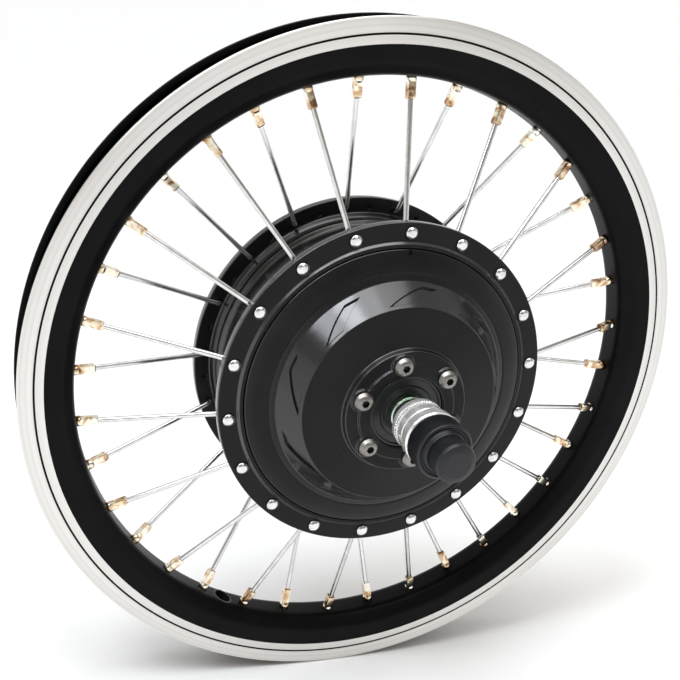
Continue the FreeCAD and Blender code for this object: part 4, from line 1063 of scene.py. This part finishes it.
def build_seals():
    near = lathe([
        (8.34, -44.2),
        (16.45, -44.2),
        (16.45, -47.6, 0.25),
        (15.3, -47.6, 0.2),
        (15.0, -46.9, 0.3),
        (12.1, -46.9, 0.3),
        (11.7, -47.9, 0.35),
        (9.6, -47.9, 0.35),
        (8.9, -47.2, 0.2),
        (8.34, -47.2)], 160)
    add("near_seal_ring", near, "wheel", "seal_rubber", "near_seal")
    far = lathe([
        (8.84, 44.5),
        (12.98, 44.5),
        (12.98, 48.7, 0.3),
        (12.0, 48.7, 0.2),
        (11.7, 48.1, 0.3),
        (10.4, 48.1, 0.3),
        (10.1, 48.8, 0.25),
        (9.3, 48.8, 0.25),
        (8.84, 48.2)], 160)
    add("far_seal_ring", far, "wheel", "seal_rubber", "far_seal")


def serrated_washer(bore):
    """Washer with radial serrations on its outer edge, towards the near dropout."""
    teeth = 60
    count = teeth * 6
    angles = even_angles(count)
    rings = [circle(bore, -COLLAR_END, angles), circle(STACK_R - 0.5, -COLLAR_END, angles),
             circle(STACK_R - 0.1, -COLLAR_END - 0.15, angles), circle(STACK_R, -COLLAR_END - 0.5, angles),
             circle(STACK_R, -WASHER_END + 1.4, angles)]
    for radius, y in ((STACK_R - 0.05, -WASHER_END + 1.2), (STACK_R - 0.1, -WASHER_END + 0.05)):
        ring = []
        for step, t in enumerate(angles):
            dip = 0.32 if step % 6 in (0, 1, 5) else 0.0
            r = radius - dip
            ring.append(Vector((r * math.cos(t), y, r * math.sin(t))))
        rings.append(ring)
    rings.append(circle(bore, -WASHER_END, angles))
    return ring_shape(rings, True)


def spacer(bore):
    return lathe([
        (bore, -DROPOUT),
        (STACK_R - 0.4, -DROPOUT, 0.3),
        (STACK_R, -DROPOUT + 0.9, 0.6),
        (STACK_R - 0.1, -WASHER_END - 1.6, 0.6),
        (STACK_R - 0.7, -WASHER_END - 0.6, 0.5),
        (STACK_R - 0.7, -WASHER_END),
        (bore, -WASHER_END)], 160)


def flange_nut(bore):
    """Hex nut with a round, dished flange against the dropout."""
    count = 144
    angles = even_angles(count)
    flange = rounded([
        (bore, -DROPOUT),
        (10.9, -DROPOUT, 0.4),
        (NUT_FLANGE_R, -DROPOUT - 1.2, 0.6),
        (NUT_FLANGE_R, -NUT_FLANGE_END + 2.0, 0.7),
        (11.0, -NUT_FLANGE_END + 0.4, 0.8)])
    rings = [circle(p.x, p.y, angles) for p in flange]
    rings.append(hexagon_ring(NUT_FLATS, -NUT_FLANGE_END, count))
    chamfer = []
    for point in hexagon_ring(NUT_FLATS, 0, count):
        radius = math.hypot(point.x, point.z)
        y = -NUT_END + 0.58 * (radius - NUT_FLATS / 2)
        chamfer.append(Vector((point.x, y, point.z)))
    rings.append(chamfer)
    rings += [circle(NUT_FLATS / 2 - 0.25, -NUT_END, angles), circle(bore + 0.7, -NUT_END, angles),
              circle(bore, -NUT_END + 0.6, angles)]
    return ring_shape(rings, True)


def build_collars():
    near = lathe([
        (NEAR_BORE_R, -43.5),
        (NEAR_COLLAR_R, -43.5),
        (NEAR_COLLAR_R, -50.6, 0.3),
        (7.75, -50.9, 0.15),
        (7.75, -51.7, 0.15),
        (NEAR_COLLAR_R, -52.0, 0.3),
        (NEAR_COLLAR_R, -COLLAR_END, 0.25),
        (NEAR_BORE_R, -COLLAR_END)], 128)
    add("near_collar_sleeve", near, "axle", "zinc_steel", "near_collar")
    far = lathe([
        (FAR_BORE_R, 33.0),
        (FAR_COLLAR_R, 33.0),
        (FAR_COLLAR_R, 51.6, 0.3),
        (8.3, 51.9, 0.15),
        (8.3, 52.7, 0.15),
        (FAR_COLLAR_R, 53.0, 0.3),
        (FAR_COLLAR_R, COLLAR_END, 0.25),
        (FAR_BORE_R, COLLAR_END)], 128)
    add("far_collar_sleeve", far, "axle", "zinc_steel", "far_collar")


def build_axle_stack():
    stack = [("washer", serrated_washer, "lock_washer"), ("spacer_ring", spacer, "spacer"),
             ("nut", flange_nut, "axle_nut")]
    for name, make, node in stack:
        add("near_" + name, make(NEAR_BORE_R), "axle", "plated_steel", "near_" + node)
        add("far_" + name, mirrored(make(FAR_BORE_R)), "axle", "plated_steel", "far_" + node)


def build_end_rubbers():
    """Soft cap on the near nut and soft bush in the far end's cable bore."""
    cap = lathe([
        (0, -AXLE_END),
        (5.6, -AXLE_END + 0.05, 2.0),
        (7.9, -AXLE_END + 0.75, 0.7),
        (CAP_R, -AXLE_END + 2.2, 0.5),
        (CAP_R, -CAP_SHOULDER - 1.0, 0.5),
        (9.2, -CAP_SHOULDER - 0.1, 0.5),
        (9.7, -CAP_SHOULDER + 0.6, 0.3),
        (10.3, -CAP_SHOULDER + 0.6, 0.3),
        (10.6, -CAP_SHOULDER - 0.05, 0.4),
        (11.9, -CAP_SHOULDER + 0.15, 0.9),
        (NUT_FLANGE_R, -NUT_FLANGE_END + 0.1, 0.3),
        (11.4, -NUT_FLANGE_END + 0.1),
        (10.5, -NUT_FLANGE_END - 1.0),
        (10.5, -NUT_END - 0.2),
        (6.1, -NUT_END - 0.2),
        (6.1, -CAP_POCKET_END),
        (0, -CAP_POCKET_END)], 160, 6)
    add("near_cap", cap, "axle", "cap_rubber", "near_nut_cap")
    bush = lathe([
        (2.6, 86.7),
        (3.58, 86.7),
        (3.58, AXLE_END - 0.1, 0.2),
        (2.6, AXLE_END - 0.1, 0.3)], 64)
    add("cable_bush", bush, "axle", "seal_rubber", "cable_grommet")


def cut_flats(axle, low, high):
    """Cuts the axle's two flats between two heights along its axis."""
    for side in (1, -1):
        centre = (0, (low + high) / 2, side * (HALF_FLATS + 5.0))
        carve(axle, block("flat_tool", centre, (30.0, high - low, 10.0)))


def build_axle():
    near_thread = thread(NEAR_AXLE_R, -87.4, -THREAD_START, THREAD_PITCH, THREAD_DEPTH)
    far_thread = thread(FAR_AXLE_R, THREAD_START, 94.0, THREAD_PITCH, THREAD_DEPTH)
    profile = [(0, -88.0), (5.2, -88.0)] + near_thread + [
        (NEAR_AXLE_R, -57.5),
        (NEAR_AXLE_R, -33.5),
        (FAR_AXLE_R, -33.5),
        (FAR_AXLE_R, -11.4),
        (7.5, -11.4),
        (7.5, -4.8),
        (9.0, -4.8),
        (9.0, 13.0),
        (7.5, 13.0),
        (7.5, 33.0),
        (FAR_AXLE_R, 33.0),
        (FAR_AXLE_R, 57.5)] + far_thread + [
        (6.2, AXLE_END),
        (CABLE_BORE_R, AXLE_END),
        (CABLE_BORE_R, CABLE_TURN),
        (0, CABLE_TURN)]
    axle = make_object("axle_shaft", lathe(profile, 96, closed=False), [MATERIALS["axle_steel"]])
    cut_flats(axle, THREAD_START, 96.0)
    cut_flats(axle, -90.0, -THREAD_START)
    hand_over(axle, "axle", "axle")


# ---- inside ---------------------------------------------------------------------------------

def paint_inside():
    """Gives every CAD node its own procedural material, by the record's slots."""
    for entry in frame["record"]["subparts"]:
        node = frame["nodes"][entry["node"]]
        for slot in node.material_slots:
            slot.material = MATERIALS[entry["material_slot"]]


# ---- studio ---------------------------------------------------------------------------------

def soft_sun(name, aim, strength, spread, colour):
    """Far light from a direction; spread is its width across the sky in degrees."""
    data = bpy.data.lights.new(name, "SUN")
    data.energy = strength
    data.angle = math.radians(spread)
    data.color = colour
    place(name, data).rotation_euler = Vector(aim).to_track_quat("Z", "Y").to_euler()


def softbox(name, centre, size, power):
    """Square light hung over the wheel, facing down; its centre and size are in metres."""
    data = bpy.data.lights.new(name, "AREA")
    data.size = size
    data.energy = power
    place(name, data).location = centre


def build_backdrop():
    """A pale dish: flat under the wheel and rising gently far away, so that no horizon shows."""
    floor_z = -RIM_R - 0.2
    rings = []
    for radius, rise in FLOOR_PROFILE:
        rings.append([Vector((radius * math.cos(t), radius * math.sin(t), floor_z + rise))
                      for t in even_angles(96)])
    material = make_material("backdrop_paint", FLOOR_PAINT, 0.8, 0.0, Specular_IOR_Level=0.1)
    floor = make_object("backdrop", ring_shape(rings, False), [material])


def build_studio():
    world = bpy.data.worlds.new("studio")
    world.use_nodes = True
    background = world.node_tree.nodes["Background"]
    tree = world.node_tree
    _, depth, _ = axes_of(tree, tree.nodes.new("ShaderNodeTexCoord").outputs["Generated"])
    backward = share_between(tree, depth, -0.5, 0.25)
    sky = ramp(tree, backward, [(0.0, WORLD_FRONT), (1.0, WORLD_BACK)])
    tree.links.new(sky, background.inputs["Color"])
    background.inputs["Strength"].default_value = WORLD_STRENGTH
    bpy.context.scene.world = world
    soft_sun("ceiling", (0.12, -0.38, 0.92), 0.35, 34.0, (1.0, 1.0, 1.0))
    for name, aim, strength in WINDOWS:
        soft_sun(name, aim, strength, WINDOW_SPREAD, WINDOW_COLOUR)
    softbox("overhead", (0.0, -0.1, 1.0), 0.8, 4.5)
    build_backdrop()


def build_camera():
    data = bpy.data.cameras.new("camera")
    data.sensor_width = 36.0
    data.lens = CAMERA_LENS
    data.shift_x, data.shift_y = CAMERA_SHIFT
    data.clip_start = 0.01
    matrix = Matrix((CAMERA_RIGHT, CAMERA_UP, CAMERA_BACK)).transposed().to_4x4()
    matrix.translation = Vector(CAMERA_PLACE)
    camera = place("camera", data)
    camera.matrix_world = matrix
    bpy.context.scene.camera = camera


paint_inside()
build_camera()
build_studio()
build_rim()
build_spokes()
build_shell()
build_near_cover()
build_far_cover()
build_disc_bolts()
build_cover_screws()
build_seals()
build_collars()
build_axle_stack()
build_end_rubbers()
build_axle()
bpy.context.scene.view_settings.view_transform = "Standard"
bpy.context.view_layer.update()
